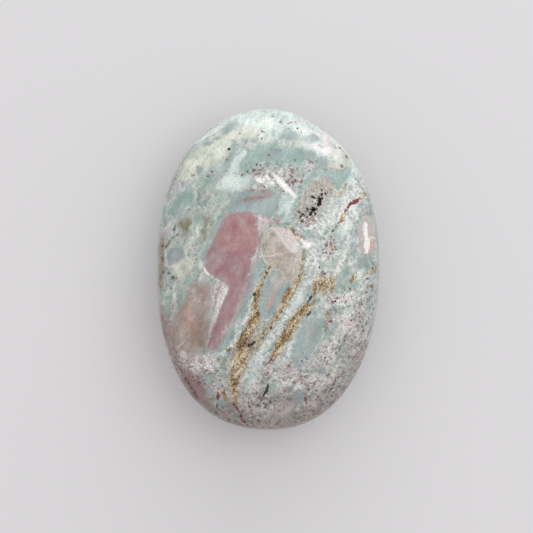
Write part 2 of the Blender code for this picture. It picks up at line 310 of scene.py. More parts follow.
        ("outlines", 1, 0.75, ((-12, -2.6), (-8.7, -4), (-9.5, -6.4), (-10.7, -9), (-11.8, -10.4),
         (-12.6, -8), (-12.8, -5.4))),
        ("routes", 1, 0.7, ((13.4, -6.4, 0.6), (16, -6.3, 0.9), (18.6, -6, 0.6))),
        ("routes", 0.8, 0.8, ((14.6, -10.6, 0.6), (17, -12.2, 0.9), (19.4, -14.2, 0.7))),
        ("ovals", 1.4, 0.6, (11.6, 26.6, 0.9, 2.6, 100), (13.2, 28, 0.6, 2.2, -40), (9.4, 27.2, 0.6, 2, 80)),
        ("ovals", 1.4, 0.5, (3.6, -22, 2, 2.6, 30), (10.8, -18.4, 1, 2.6, 40), (7.2, -24.6, 1, 2.6, 70),
         (14, -24.2, 1, 2.8, 50), (-1.4, -23.4, 1.4, 2.6, 20), (8.6, -27.8, 1.4, 2.6, 70),
         (0.6, -30, 1, 2.2, 90), (20.4, -9, 1, 2.4, 10), (18.6, -17.2, 1.2, 2.6, 30),
         (13.4, -20, 0.8, 1.8, 40), (-6.4, -30.6, 1, 1.8, 60), (19.4, -3.6, 0.5, 1)),
        ("ovals", 1.2, 0.42, (13.2, 5, 1.2, 2.6), (12.6, 3.7, 0.5, 1.2, 90), (14, 7.2, 0.6, 1.6, -10)),
        ("ovals", 1, 0.6, (17.2, -12.6, 1.2, 2.8, 55)),
        ("ovals", 0.8, 0.7, (0, -21.8, 1, 2.2), (4.2, -22, 1, 1.4), (10.6, 26.4, 0.5, 2.4, 80),
         (9.2, 22.6, 0.9, 1.2), (6.6, 8.6, 0.7, 1.1, 50), (11.6, 29.2, 0.35, 1.6, 125),
         (-22.2, 8, 0.8, 1.6, 15)),
        ("ovals", 0.7, 0.5, (-16.4, 13, 0.5, 0.9, 90), (-19.3, 18.4, 0.7, 0.8), (-13.9, 0.1, 0.4, 0.8),
         (5, 15.4, 0.5, 1.4, 35)),
    ),
    "tan": (
        ("outlines", 1.6, 0.3, ((8.2, -12.6), (9.6, -12), (10.4, -13.4), (10, -16), (9, -18.4), (7.4, -19.6),
         (6.4, -18.6), (7, -15.4))),
        ("outlines", 1.5, 0.85, ((-17.2, -2.8), (-13.2, -2.6), (-12.4, -5), (-12.8, -9), (-13.2, -17),
         (-15, -18.8), (-18.4, -18.8), (-21.6, -15.4), (-20.8, -11.4), (-19, -8), (-17.8, -5))),
        ("outlines", 1, 0.5, ((0.2, -30.2), (3, -29.8), (4.6, -30.6), (4.8, -32), (2.6, -33), (0, -32.8))),
        ("routes", 1.8, 0.3, ((7.8, 2.6, 0.4), (7, -1, 0.6), (4.6, -5.4, 1), (2.8, -8.8, 1), (0.6, -12, 1),
         (-2.6, -16, 1.4), (-6.4, -20.4, 2.2), (-7.6, -25.6, 1.2)), ((-1.8, -3.4, 0.6), (-2.7, -7.6, 0.6),
         (-3, -11, 1), (-5.2, -15.4, 1.2)), ((12.4, -2.8, 1.2), (10.2, -5, 0.6), (7, -9.6, 1),
         (4.6, -13.4, 1), (2, -17.4, 0.8))),
        ("routes", 1.4, 0.4, ((-5.6, -5.4, 0.4), (-7, -8.6, 0.6), (-8.4, -12, 0.6), (-9.6, -15.4, 0.6))),
        ("routes", 1, 0.75, ((2.7, -1.8, 0.9), (1.6, -4.6, 0.8), (0.3, -7.6, 0.7))),
        ("routes", 0.8, 0.9, ((-23.2, 6.6, 0.6), (-23.4, 4, 0.9), (-23.4, 1, 0.8), (-23.6, -3.4, 0.7),
         (-23.6, -5, 0.4))),
        ("routes", 0.7, 0.7, ((-23.2, 6.6, 0.5), (-23.5, 4, 0.7), (-23.5, 1, 0.6), (-23.8, -3.4, 0.5))),
        ("routes", 0.6, 0.7, ((13.2, 22.2, 0.15), (14.6, 21.6, 0.25), (16, 21.4, 0.3), (17.2, 22.4, 0.25))),
        ("ovals", 1.6, 0.5, (-18.6, 0.2, 1.2, 1.6), (-17.6, -1, 0.8, 1.4)),
        ("ovals", 1.5, 0.5, (19.6, -20, 1.2, 4, 30), (-14.6, -27.4, 1.2, 1.8)),
        ("ovals", 1.4, 0.35, (-12.4, 7.4, 0.7, 2.4, 10), (-7.6, -31, 1.6, 3.6, 80)),
        ("ovals", 0.7, 0.6, (-20.3, 7.4, 0.4, 0.9, 50), (-23, -8.4, 0.4, 0.8, 90), (-13.8, 6.9, 0.7, 0.9)),
    ),
    "olive": (
        ("routes", 1.6, 0.48, ((2.6, -8.8, 0.6), (1.2, -11.4, 1), (-1, -13.8, 1), (-3.4, -17.4, 1.2))),
        ("routes", 0.8, 0.6, ((4.3, 9.7, 0.3), (5.2, 8.8, 0.4), (6, 7.8, 0.4), (6.9, 6.8, 0.3))),
        ("routes", 0.8, 0.5, ((10, -5.6, 0.4), (9.9, -6.8, 0.55), (9.3, -7.9, 0.4))),
        ("routes", 0.6, 0.85, ((7.9, 4.4, 0.25), (7.8, 3, 0.4), (7.5, 1.5, 0.4), (7.2, 0, 0.4),
         (6.8, -1.2, 0.3))),
        ("routes", 0.6, 0.72, ((10.2, -5.4, 0.3), (10.2, -6.6, 0.45), (9.5, -7.5, 0.3))),
        ("routes", 0.4, 0.45, ((2.3, -27.8, 0.16), (1.7, -28.6, 0.24), (0.6, -29, 0.2), (-0.3, -29.6, 0.32),
         (-1, -30.1, 0.2))),
        ("routes", 0.3, 0.7, ((4.6, -31.6, 0.12), (5.4, -31.1, 0.2), (6.4, -31.7, 0.14))),
        ("ovals", 1.4, 0.42, (-13.6, 7.8, 1.4, 2.4, 10), (-18.6, 9.4, 1.6, 2), (-13.4, 15.6, 1, 1.6)),
        ("ovals", 1.2, 1, (-19, 9.7, 0.7, 1), (-18, 9, 0.8, 1.6, 10), (-17.5, 10, 0.7, 0.9)),
        ("ovals", 1, 0.65, (-15.1, 16.2, 0.4, 1.1), (-13.6, 10.2, 0.8, 1.9), (-12.3, 10, 0.6, 1.3, 20),
         (-13.8, 7.1, 0.8, 0.6), (-17.7, 11.2, 0.4, 1.2, 80), (-12.7, 8.6, 0.5, 0.6)),
        ("ovals", 1, 0.5, (13.1, -9.8, 0.6, 1.7, 5), (18.6, -2, 0.5, 1, 40), (12.7, -12.4, 0.5, 0.8)),
        ("ovals", 0.8, 0.62, (-23.4, 3, 0.6, 3.6, 2), (-23.5, -3, 0.5, 2.4)),
        ("ovals", 0.8, 0.5, (-21.6, 16.2, 0.4, 1.6, 12), (-20.6, 19, 0.3, 1.6, 15),
         (22.6, -3.6, 0.5, 0.6, 60), (23.3, 0, 0.5, 0.9), (-23.1, -6.8, 0.5, 0.8), (12.6, -12.4, 0.4, 0.7),
         (10, -7, 0.5, 0.9), (-9.8, -20.6, 0.9, 1.6), (21, 0.3, 0.2, 1.1, 90), (13.2, -6.8, 0.3, 0.5),
         (-20.3, 15.2, 0.2, 0.9, 20), (13.2, -27, 0.6, 0.9, 20), (17.4, -17.6, 0.4, 1, 10)),
        ("ovals", 0.8, 0.42, (-23.3, 3, 0.6, 3.6, 2), (-23.4, -3, 0.5, 2.4), (-12.4, 7.2, 0.4, 1.8, 10)),
        ("ovals", 0.7, 0.8, (-15.1, 16.2, 0.4, 1.3), (-15.3, 14.9, 0.3, 0.7), (12.6, -12.7, 0.55, 1.1, 5)),
        ("ovals", 0.7, 0.75, (13, -10.2, 0.45, 1), (13.1, -6.6, 0.3, 0.8), (12.3, -5.4, 0.3, 0.5, 60)),
        ("ovals", 0.7, 0.6, (-5.6, 31.9, 0.3, 0.4, 40), (-9.9, 12.6, 0.5, 1.2, 40)),
        ("ovals", 0.4, 0.9, (-20.8, -1.8, 0.45, 0.5), (-20.1, -2, 0.3, 0.35), (-20.9, 6.9, 0.25, 0.5, 60)),
        ("ovals", 0.4, 0.75, (-17.5, 13, 0.3, 0.55, 100), (1.1, 33.4, 0.28, 0.34), (-2.5, 32.5, 0.2, 0.24),
         (2.8, 32.3, 0.24, 0.4, 20)),
        ("ovals", 0.4, 0.42, (0.5, -26.3, 0.35, 0.8, 10), (-0.4, -25.6, 0.4, 0.8, 30)),
        ("ovals", 0.3, 0.95, (-23.2, 5, 0.4, 0.6), (-22.1, 5.1, 0.42, 0.9, 25), (-21.6, 6, 0.26, 0.6, 20),
         (-23.2, 2.4, 0.45, 0.6), (-23.6, -1.8, 0.42, 0.9, 10), (-23.4, -3.8, 0.32, 0.36, 90),
         (-21.2, -4, 0.26, 0.4), (-19.8, 7.6, 0.3, 0.4, 90), (-20.6, 8.8, 0.22, 0.45),
         (-16, 1.3, 0.18, 0.2)),
        ("ovals", 0.25, 0.85, (5, -20.4, 0.2, 0.55, 75), (4.8, -23.7, 0.18, 0.5, 95),
         (3.1, -24, 0.2, 0.5, -20), (6.3, -24.3, 0.2, 0.4, 20), (7.2, -24.9, 0.18, 0.5, 60),
         (13, -23.2, 0.26, 0.5, 60), (16.8, -14.6, 0.25, 0.7, 50), (18.2, -17, 0.25, 0.4),
         (8.3, -27.6, 0.25, 0.6, 10)),
        ("dots", 1, 0.65, (1, (-13.9, 8.4))),
        ("dots", 0.7, 0.6, (0.3, (-7.6, 28.1))),
        ("dots", 0.3, 0.95, (0.4, (-23, -0.7)), (0.36, (-21.8, -0.9))),
    ),
    "peach": (
        ("routes", 1.4, 0.95, ((-17.2, -7, 0.3), (-17.3, -10, 0.9), (-17.4, -12.6, 0.9), (-17, -14.6, 0.4))),
        ("routes", 1.3, 0.85, ((-15.9, -11.6, 0.3), (-16.2, -14.6, 0.8), (-15.8, -16.8, 0.4))),
        ("ovals", 1.6, 0.3, (-18.4, -0.4, 1.2, 1.6), (-23.2, 4, 0.6, 2.6)),
        ("ovals", 1.2, 0.4, (4, -29.6, 0.8, 1.3), (2.6, -31.4, 0.8, 1.4, 60), (1.6, -4, 0.5, 1.2, 10)),
        ("ovals", 1, 0.6, (-14, -13.4, 0.4, 2, 10), (-19.2, -13, 0.5, 1.6, 10)),
        ("ovals", 1, 0.5, (2.4, -2.6, 0.5, 1.2, 30)),
        ("ovals", 0.8, 0.85, (0.1, -7.3, 0.5, 1.1, 5), (-9.4, -31.6, 0.4, 0.6)),
        ("ovals", 0.8, 0.55, (-18.4, -16.8, 0.6, 1.1), (-20.6, -17, 0.4, 0.9, -30), (-15, -3.6, 0.5, 0.8),
         (3.8, -29.4, 0.5, 0.8)),
    ),
    "mauve": (
        ("outlines", 2, 0.22, ((-16.2, -2.8), (-13.2, -2.8), (-12.8, -5), (-13.2, -9), (-13.4, -14),
         (-15.2, -16.4), (-18, -15), (-20.4, -13.5), (-20.4, -10.6), (-18.6, -7.4), (-17.4, -4.6))),
        ("outlines", 1.2, 0.5, ((-18, -21.6), (-15.6, -23.4), (-13.6, -26), (-13, -29), (-16, -29),
         (-19.6, -25))),
        ("outlines", 1.1, 1, ((-9.2, 11.4), (-8, 11.9), (-6, 12.3), (-4, 12.3), (-3, 11.8), (-2.2, 11),
         (-2.3, 9), (-1.9, 6.6), (-2.2, 5), (-2.9, 3.8), (-3.7, 2.8), (-3.9, 1.4), (-4, 0.2), (-4.4, -1.4),
         (-4.9, -3.2), (-6, -5), (-8, -5), (-8.6, -4), (-9.4, -3.2), (-10.6, -2.3), (-11.8, -1.4),
         (-13, -0.9), (-13.7, 0), (-13.7, 1), (-13, 1.7), (-13.4, 2.6), (-13, 3.8), (-12, 5), (-11.8, 6.2),
         (-11.2, 7.2), (-10.3, 9))),
        ("routes", 1.8, 0.45, ((-4.6, -3, 0.8), (-6, -6.4, 0.8), (-7.4, -9.6, 0.8), (-8.8, -12.8, 0.7),
         (-10, -15.4, 0.5))),
        ("routes", 1.6, 1, ((-6.4, -3.2, 1.9), (-7.5, -6, 1.5), (-8.8, -9, 1.4), (-10.1, -12, 1.4),
         (-11.2, -14.6, 1.3), (-11.9, -16.4, 1))),
        ("routes", 1, 0.8, ((-5.6, 15.1, 0.2), (-3.4, 15.5, 0.35), (-1.4, 15.7, 0.3), (0.6, 16.2, 0.2))),
        ("routes", 1, 0.55, ((-3, 16.6, 0.2), (-0.6, 16.8, 0.4), (1.2, 16.5, 0.2))),
        ("routes", 0.6, 0.5, ((-10.6, -3.4, 0.2), (-11.2, -5, 0.3), (-11.6, -7, 0.25), (-12, -9, 0.15))),
        ("routes", 0.6, 0.4, ((-9.6, -4.4, 0.15), (-10.2, -6.4, 0.2), (-11, -8.6, 0.15))),
        ("ovals", 1.6, 0.5, (-3.4, 1, 0.6, 1.8, 30), (-4, -1.8, 0.6, 1.4, 30)),
        ("ovals", 0.9, 0.4, (4.2, -26.4, 0.5, 1.1, 70)),
        ("ovals", 0.8, 0.7, (-0.2, 10.3, 0.4, 1, 85), (-1.6, 9.6, 0.4, 1, 20), (1.9, 10.6, 0.35, 0.6, 60)),
        ("ovals", 0.8, 0.5, (-22.4, -11.8, 0.6, 1.2, 20), (-1, 11.2, 0.5, 1.6, 80), (-1.6, 9, 0.4, 1.4)),
        ("ovals", 0.7, 0.7, (-17.1, -22.8, 0.5, 0.9, -20), (-23.2, -10.8, 0.4, 1)),
    ),
    "rose": (
        ("outlines", 1.8, 0.7, ((-8.6, 10.8), (-6, 11.9), (-3.4, 11.8), (-2.6, 10), (-2.3, 6.5), (-2.9, 4.2),
         (-5, 3.4), (-8, 3.8), (-10.6, 4.6), (-10.8, 6.6), (-9.4, 9))),
        ("ovals", 1.2, 0.9, (-4, 7.3, 1, 2), (-3.2, 5.2, 0.6, 0.9)),
        ("ovals", 0.9, 0.3, (4.1, -21.9, 1.1, 1.2), (0.1, -21.5, 0.8, 1.3), (-13.2, -5.6, 0.6, 1.4)),
        ("ovals", 0.6, 0.7, (0, 10.2, 0.35, 0.9, 85), (1.9, 10.3, 0.25, 0.3), (2.3, 11.4, 0.25, 0.4, 30),
         (-1.4, 11.4, 0.25, 0.8, 70)),
    ),
    "wine": (
        ("routes", 1.3, 0.6, ((-8, -4.8, 0.4), (-9.2, -7.6, 0.5), (-10.2, -10.6, 0.7), (-11, -13, 0.7),
         (-12.1, -16, 0.7))),
        ("routes", 0.8, 0.75, ((-7.4, 3.2, 0.3), (-6.2, 2.6, 0.3), (-5.4, 1.6, 0.3), (-5, 0.4, 0.2))),
        ("ovals", 1.2, 0.6, (-7.6, -3.2, 0.7, 0.8), (-8.4, -1.4, 0.8, 1.4)),
        ("ovals", 1, 0.85, (-7.3, 9.5, 0.6, 0.8), (-7.6, 3.4, 0.5, 1.6, 90)),
        ("ovals", 1, 0.6, (-13.2, -5.2, 0.7, 1), (-14.3, -6.6, 0.5, 1, 10), (-10.4, 0.6, 0.8, 1.6, 60),
         (-4, 10.6, 0.5, 0.8)),
        # The oval at X -22.4, Y -14.2, on the left edge, is painted shade with a warm painted reflection
        ("ovals", 0.8, 0.45, (-13.4, -8.5, 0.4, 0.5), (-15, -10.6, 0.4, 1.2, 10), (-15.4, -4.6, 0.5, 0.7),
         (-14.8, -12.6, 0.4, 1.2), (-22.4, -14.2, 0.6, 1, -30), (0, 10.1, 0.2, 0.6, 90)),
        ("ovals", 0.35, 0.85, (-3.3, 17.4, 0.3, 0.85, 90), (-1.3, 17.2, 0.22, 0.6, 90),
         (-4.6, 17.2, 0.15, 0.4, 90)),
    ),
    "veil": (
        ("routes", 1, 0.5, ((-4.6, -2.8, 0.3), (-6, -6.6, 0.5), (-7.6, -10.8, 0.5), (-9, -14.6, 0.6))),
        ("routes", 0.8, 0.5, ((-13.3, -8, 0.3), (-13.9, -11.6, 0.5), (-13.7, -16, 0.4))),
        ("routes", 0.6, 0.6, ((-1.6, 12, 0.3), (-2, 10.4, 0.4), (-1.6, 8.4, 0.4), (-2.2, 6.8, 0.2))),
        ("ovals", 1.4, 0.7, (2.2, -2.6, 0.9, 1.6, 10), (0.6, -5, 0.7, 1.6, 15)),
        ("ovals", 1.2, 0.8, (1.6, -3.2, 0.9, 2.8, 14), (3.4, -31, 1.5, 2.2, 70)),
        ("ovals", 1.2, 0.78, (21.7, 7.5, 1.9, 4.4)),
        ("ovals", 1.2, 0.4, (-9.4, 7.6, 0.6, 1.6, 25), (-5.4, 9.8, 0.7, 1.8), (-12, 3.2, 0.6, 1, 20),
         (-7.4, 0.4, 0.6, 1.4, 60)),
        ("ovals", 1.2, 0.35, (-9.5, -13.6, 0.6, 2, 20), (-9, -5, 0.5, 0.9)),
        ("ovals", 1.2, 0.34, (-9.6, -9.4, 0.9, 2.6, 15), (-11.4, -14.6, 0.8, 2.4, 15),
         (-3.4, 6.4, 0.6, 1.8)),
        ("ovals", 1, 0.6, (-13, -5.6, 0.7, 3, 4)),
        ("ovals", 1, 0.5, (-16.4, -5, 0.7, 1.6), (-15.8, -17.6, 0.6, 2, 90), (-14.6, -3, 0.7, 1.2, 90),
         (-18.6, -14, 0.5, 1.6)),
        ("ovals", 1, 0.4, (-5.6, 10.2, 0.7, 1.8), (-11, 1.4, 1, 1.4, 50), (-8.6, 7, 0.6, 1.4, 20),
         (-6.4, -0.6, 0.6, 1.4)),
        ("ovals", 1, 0.35, (9, -15, 1.2, 3.4, 15), (6.8, -19, 0.8, 1.6, 30)),
        ("ovals", 0.8, 0.5, (-3, 2.6, 0.5, 1.2, 50), (-3.2, 1, 0.4, 1, 45), (8.8, -14, 0.7, 1.8),
         (5, -3.6, 0.4, 0.8)),
        ("ovals", 0.6, 0.6, (-20.1, 3.1, 0.5, 0.9, 70)),
        ("dots", 1, 0.6, (0.8, (-13.6, -2.4))),
    ),
    "lace": (
        ("outlines", 1.6, 0.24, ((-17.6, -4), (-13.4, -3), (-13.4, -9), (-14, -17), (-18, -18), (-20.6, -14),
         (-19, -8))),
        ("outlines", 1.2, 0.6, ((10.4, -0.8), (14.2, -1.2), (14.4, -4.2), (12.6, -4.8), (10.8, -4.6))),
        ("outlines", 1, 0.16, ((-12, -2.8), (-8.6, -4), (-9.4, -6.4), (-10.6, -9), (-11.6, -10.4),
         (-12.4, -8), (-12.8, -5.4))),
        ("outlines", 0.9, 0.45, ((-2.8, 12.2), (-0.6, 11.8), (0.6, 10.4), (-0.4, 9), (-1.6, 7.8),
         (-2.3, 8.6), (-2.2, 10.6))),
        ("routes", 1.4, 0.5, ((-2.6, -9, 0.8), (-4, -13, 1.1), (-5.4, -17, 1.8), (-6.6, -20.6, 2.1),
         (-7.4, -24.6, 1.6), (-7.4, -28.4, 1))),
        ("routes", 1.2, 0.45, ((9.4, -8, 0.6), (7.4, -9.4, 0.9), (5.2, -12.4, 1.2), (3.2, -16.4, 1),
         (1.2, -19.2, 0.6)), ((6.4, -3, 0.5), (4.6, -5.6, 0.9), (3, -8.4, 0.8), (1.2, -11.4, 0.8),
         (-1.4, -14.4, 0.8))),
        ("routes", 0.9, 0.84, ((-9.4, -4.6, 0.5), (-10.4, -6.8, 0.42), (-11.4, -9.2, 0.34),
         (-12.2, -11.4, 0.3), (-12.9, -14, 0.24), (-13.3, -17, 0.12))),
        # A glow of painted highlight round the white streak at X 1 to 6, Y 16 to 21
        ("routes", 0.9, 0.8, ((0.6, 21.4, 0.2), (2, 19.6, 0.5), (3.8, 17.8, 0.6), (5.7, 15.9, 0.5))),
        ("routes", 0.7, 0.9, ((8.6, 30.7, 0.2), (10.4, 29.8, 0.3), (12, 28.9, 0.6), (13, 27.6, 0.7),
         (13.2, 26.2, 0.6))),
        ("routes", 0.7, 0.85, ((8.6, 27, 0.25), (10.4, 26.5, 0.45), (12, 25.9, 0.6), (13.2, 25.8, 0.5))),
        ("routes", 0.7, 0.6, ((-2.4, 6.6, 0.2), (-2.2, 5, 0.3), (-2.7, 3.4, 0.4), (-3.2, 1.6, 0.3))),
        ("routes", 0.6, 0.55, ((15.2, -0.3, 0.3), (13.6, -0.2, 0.3), (12, -0.2, 0.3), (10.6, 0.2, 0.3))),
        ("routes", 0.6, 0.5, ((18.8, 6.5, 0.2), (17.5, 5.3, 0.3), (17, 4, 0.2), (16.2, 3, 0.35),
         (16.3, 1.8, 0.25), (15.4, 0.8, 0.3))),
        ("routes", 0.5, 0.6, ((-12.1, -3.6, 0.16), (-12.6, -5, 0.2), (-12.3, -6.8, 0.14))),
        ("routes", 0.4, 0.75, ((-13.2, -1.2, 0.12), (-11.8, -2.2, 0.15), (-10.4, -2.9, 0.16),
         (-9.2, -3.7, 0.2), (-8.5, -4.2, 0.12))),
        ("routes", 0.3, 0.75, ((-11.6, -3.2, 0.08), (-11.9, -5, 0.12), (-12.1, -7, 0.08)),
         ((-10.2, -3.6, 0.08), (-10.7, -5.4, 0.14), (-11.3, -7.6, 0.1))),
        ("routes", 0.2, 0.7, ((-3.4, 12, 0.06), (-2, 11.3, 0.12), (-0.4, 11, 0.08), (1.4, 11.6, 0.06)),
         ((-2.8, 11, 0.06), (-1.6, 10.2, 0.12), (-1, 9, 0.06))),
        ("routes", 0.2, 0.6, ((-3, 9.6, 0.05), (-2.2, 9, 0.1), (-1.6, 8, 0.06))),
        ("ovals", 1.2, 0.3, (17.8, 12.6, 0.8, 3, 30), (15.4, 10.4, 0.6, 2.4, 40), (11, 2.4, 0.7, 1.6, 10),
         (18.6, 19.2, 1, 1.2)),
        ("ovals", 1, 0.6, (17.4, -12.6, 0.8, 2.6, 55), (16.4, -6, 0.5, 1.8, 80)),
        ("ovals", 1, 0.55, (15.2, 24.6, 1.2, 1.5), (6.4, 32.4, 1.4, 1)),
        ("ovals", 1, 0.5, (16.8, -12.2, 0.6, 2.4, 55), (18.2, -13.6, 0.5, 1, 40),
         (14.8, -10.8, 0.4, 0.8, 40)),
        ("ovals", 1, 0.45, (-9.6, -13.4, 0.6, 1.8, 20), (-11, -15.6, 0.5, 1, 20), (-6.4, -6, 0.4, 1.8, 20),
         (-12.6, 6.6, 0.5, 1.6, 25)),
        ("ovals", 1, 0.42, (-2.5, 10.2, 0.5, 1.4), (-3, 3, 0.6, 1.2, 40), (-4.7, -1.8, 0.35, 1.5, 25),
         (-12.4, -16.4, 0.5, 1.6, 20)),
        # The first two ovals are a glow of painted highlight round the white blob, and the third round the
        # flash right of the quartz patch
        ("ovals", 0.8, 0.8, (-1.2, 19.6, 0.6, 1.3, 100), (0.8, 18.9, 0.5, 0.6, 60), (9.2, 5.1, 0.5, 1, 75),
         (13, 27.2, 0.4, 1.4, -35)),
        ("ovals", 0.8, 0.7, (14, -23.2, 0.25, 0.8, 80), (9.7, -23.2, 0.3, 0.8, 90),
         (7.2, -25.7, 0.35, 1.2, 100), (13.3, -16.3, 0.3, 0.5, 90), (12, -24, 0.25, 0.7, 60),
         (4, -24.8, 0.3, 0.7, 60), (-9.9, -24.8, 0.25, 0.4, 90), (10.8, -8.1, 0.4, 1, 60),
         (10.6, -6, 0.4, 0.8, 40), (12.1, -6.7, 0.2, 0.7, -20), (16.6, -12, 0.4, 1.8, 55),
         (-13.4, -19.8, 0.6, 1, 90), (-13, -21.6, 0.4, 0.7, 60)),
        ("ovals", 0.7, 0.75, (-14.8, 1.2, 0.45, 0.7), (-20.5, -6, 0.3, 1, 5), (-17.8, 13.4, 0.4, 0.6, 60)),
        ("ovals", 0.7, 0.45, (7.8, 23, 0.4, 0.6), (-1.6, 28.2, 0.5, 1, 90), (5.2, 33, 0.5, 0.9, 90),
         (13.9, 22.4, 0.4, 0.5)),
        ("ovals", 0.6, 0.5, (13.2, 5.8, 0.3, 1.2, 20), (12, 4.9, 0.3, 1, -30), (13.6, 3.4, 0.3, 0.8, 40),
         (12.6, 6.8, 0.3, 0.6)),
        ("ovals", 0.5, 0.6, (-13.5, -7.2, 0.3, 0.4), (-11.2, -3, 0.3, 0.6, 60)),
        ("ovals", 0.5, 0.55, (-19.1, 13.7, 0.2, 0.8, 60), (-18, 13, 0.3, 0.4), (-12.4, 15.6, 0.3, 0.9, -20),
         (-13.2, 16.6, 0.25, 0.6, 30), (-12, 14.9, 0.2, 0.6, 60), (-14.8, 13.4, 0.4, 0.5),
         (-18.5, 17.6, 0.3, 1, 30), (-19.4, 19.8, 0.25, 0.8, 20)),
    ),
    "dust": (
        ("ovals", 3, 0.33, (20, -10, 2, 6, 10), (15.6, -6.6, 1.6, 2.6, 80), (12.4, -20, 2, 5, 40),
         (20, -18, 2, 4, 20)),
        ("ovals", 3, 0.29, (11, -27, 3, 5, 60), (-1, -25, 2.6, 5, 10), (6, -23.6, 1.6, 4, 80),
         (-1, -31, 2, 6, 90)),
        ("ovals", 2, 0.25, (-3.4, -22, 1, 4, 10), (-4, -27, 1.4, 3), (8, -20, 2, 3, 30),
         (15, -26, 2, 3, 50)),
        ("ovals", 2, 0.16, (-14.5, 24.5, 2, 6, 45), (-17, 6, 2, 4, 10), (-21.4, -8, 1.4, 3, 10)),
        ("ovals", 2, 0.14, (5, 30.6, 1.6, 4, 80), (3, 25, 1.6, 4, 80), (-17, 21, 2, 4, 40),
         (0, 29.4, 1, 2.4, 80), (-21, 8, 1, 2, 10)),
        ("ovals", 1.8, 0.36, (-2.4, 21.4, 1.4, 2.8, 90), (0.6, 20.4, 1.3, 1.8, 90), (5, 19.8, 2, 2.8)),
        ("ovals", 1.6, 0.3, (13, 4.9, 1.5, 2.6), (9.4, 22.8, 0.9, 1.4, 20), (4.4, 32, 0.7, 1.8, 105)),
        ("ovals", 1.4, 0.34, (-17.2, 4.6, 1, 1.6), (-15.8, 2.8, 0.5, 0.8), (-17.6, 5.6, 0.4, 0.5)),
        ("ovals", 1.2, 0.4, (-13.8, -22.4, 1.6, 0.8), (-11.2, -22.8, 0.6, 1), (3.2, -22, 0.4, 0.9),
         (5, -21.4, 0.3, 0.9), (10.2, -18.4, 0.4, 1.4, 40), (12.4, -17.6, 0.5, 1.6, 10),
         (-14.6, -25, 0.6, 1, 90), (-4.2, -29, 0.8, 1.4), (-16.4, 20.6, 0.7, 1), (12.2, -1, 1, 0.8)),
        ("ovals", 1.2, 0.3, (4.6, 31.8, 0.8, 1.2, 100)),
        ("ovals", 1.2, 0.26, (13.1, 5.2, 1.4, 2.8)),
        ("ovals", 0.8, 0.45, (4.6, -21, 0.5, 1, 20), (9.8, -25, 0.6, 1.4, 40), (12.4, -18.4, 0.6, 1.6, 10),
         (8.4, -28.8, 0.5, 1.2), (10.4, -19, 0.4, 1.2, 45)),
        ("dots", 1.2, 0.4, (1.4, (-16, -24.2))),
    ),
    "quartz": (
        ("outlines", 0.15, 1, ((0.3, 9.1), (1.1, 9.8), (2.2, 9.6), (3.4, 9.3), (4.6, 8.8), (5.6, 7.8),
         (6.4, 6.6), (7, 5.6), (7.3, 4.4), (7.3, 2.6), (7.1, 0.8), (6.6, -0.6), (6.2, -2), (5.6, -3),
         (4.6, -3.3), (4, -2.6), (3.5, -1.4), (2.9, -0.5), (2, -0.2), (1, 0), (0.3, 0.8), (-0.6, 1.4),
         (-1.2, 2.4), (-1.7, 4), (-1.6, 5.6), (-1.2, 7), (-0.5, 8.3))),
    ),
    "frost": (
        ("outlines", 0.4, 0.8, ((0.5, 8.9), (1.3, 9.7), (2.3, 9.3), (3.6, 9.1), (4.7, 8.6), (5.7, 7.5),
         (6.4, 6.3), (6.9, 5), (6.6, 4), (5.6, 3.5), (4.6, 3.7), (3.9, 4.6), (3.2, 5.7), (2.6, 7), (2, 7.8),
         (1.2, 8.3))),
        ("ovals", 0.6, 1, (5.6, 5.2, 0.8, 1.6, -30), (1.9, 8.9, 0.3, 0.9, 70)),
        ("ovals", 0.6, 0.35, (6.4, 1.6, 0.4, 1.8), (4.6, -1.8, 0.6, 1.2), (5.6, -0.4, 0.5, 1)),
        ("ovals", 0.4, 0.9, (-18.8, -18.5, 0.85, 0.7)),
        ("dots", 0.4, 0.9, (0.4, (-18.2, -19))),
    ),
    "cracks": (
        ("routes", 0.4, 0.9, ((0.4, 8.9, 0.16), (1.2, 8.5, 0.24), (2, 8, 0.2), (2.6, 7, 0.16),
         (3.4, 5.6, 0.1))),
        ("routes", 0.3, 0.62, ((-20.8, 5.3, 0.14), (-22.2, 4.6, 0.2), (-22.5, 3.4, 0.2), (-22.4, 1.2, 0.2),
         (-21.6, 0.4, 0.2), (-19.6, 1.2, 0.2), (-17.8, 2.4, 0.16), (-17.6, 4.2, 0.12))),
        ("routes", 0.3, 0.5, ((2.7, 4.9, 0.06), (2.7, 3.9, 0.12), (3.2, 3.1, 0.08)), ((5.1, 3.2, 0.06),
         (5, 1.8, 0.14), (4.7, 0.2, 0.14), (4.4, -1.8, 0.06))),
        ("routes", 0.3, 0.45, ((2.1, 4.9, 0.06), (2.1, 4, 0.1), (2.4, 3.3, 0.06)), ((3.9, 3, 0.06),
         (3.9, 1.6, 0.14), (3.8, 0.2, 0.1))),
        ("routes", 0.3, 0.4, ((6.5, 3.4, 0.08), (6.5, 2, 0.12), (6.2, 0.4, 0.08))),
        ("routes", 0.2, 0.75, ((-19.9, -17.6, 0.14), (-19.4, -16.7, 0.2), (-18.6, -16.1, 0.16),
         (-18.1, -15.2, 0.1))),
        ("routes", 0.2, 0.65, ((-20.9, -5.2, 0.1), (-20.4, -7, 0.14), (-20.5, -9, 0.14),
         (-20.9, -10.4, 0.14), (-21.6, -11, 0.1))),
        ("routes", 0.2, 0.6, ((6.05, 2.6, 0.12), (5.9, 1.2, 0.14), (5.6, -0.6, 0.06)), ((7.1, 4.6, 0.1),
         (7.2, 3, 0.14), (7, 1.4, 0.1))),
        ("routes", 0.12, 0.9, ((-1.2, 2.7, 0.1), (0.6, 3, 0.12), (2, 3.4, 0.12), (3, 3.6, 0.08))),
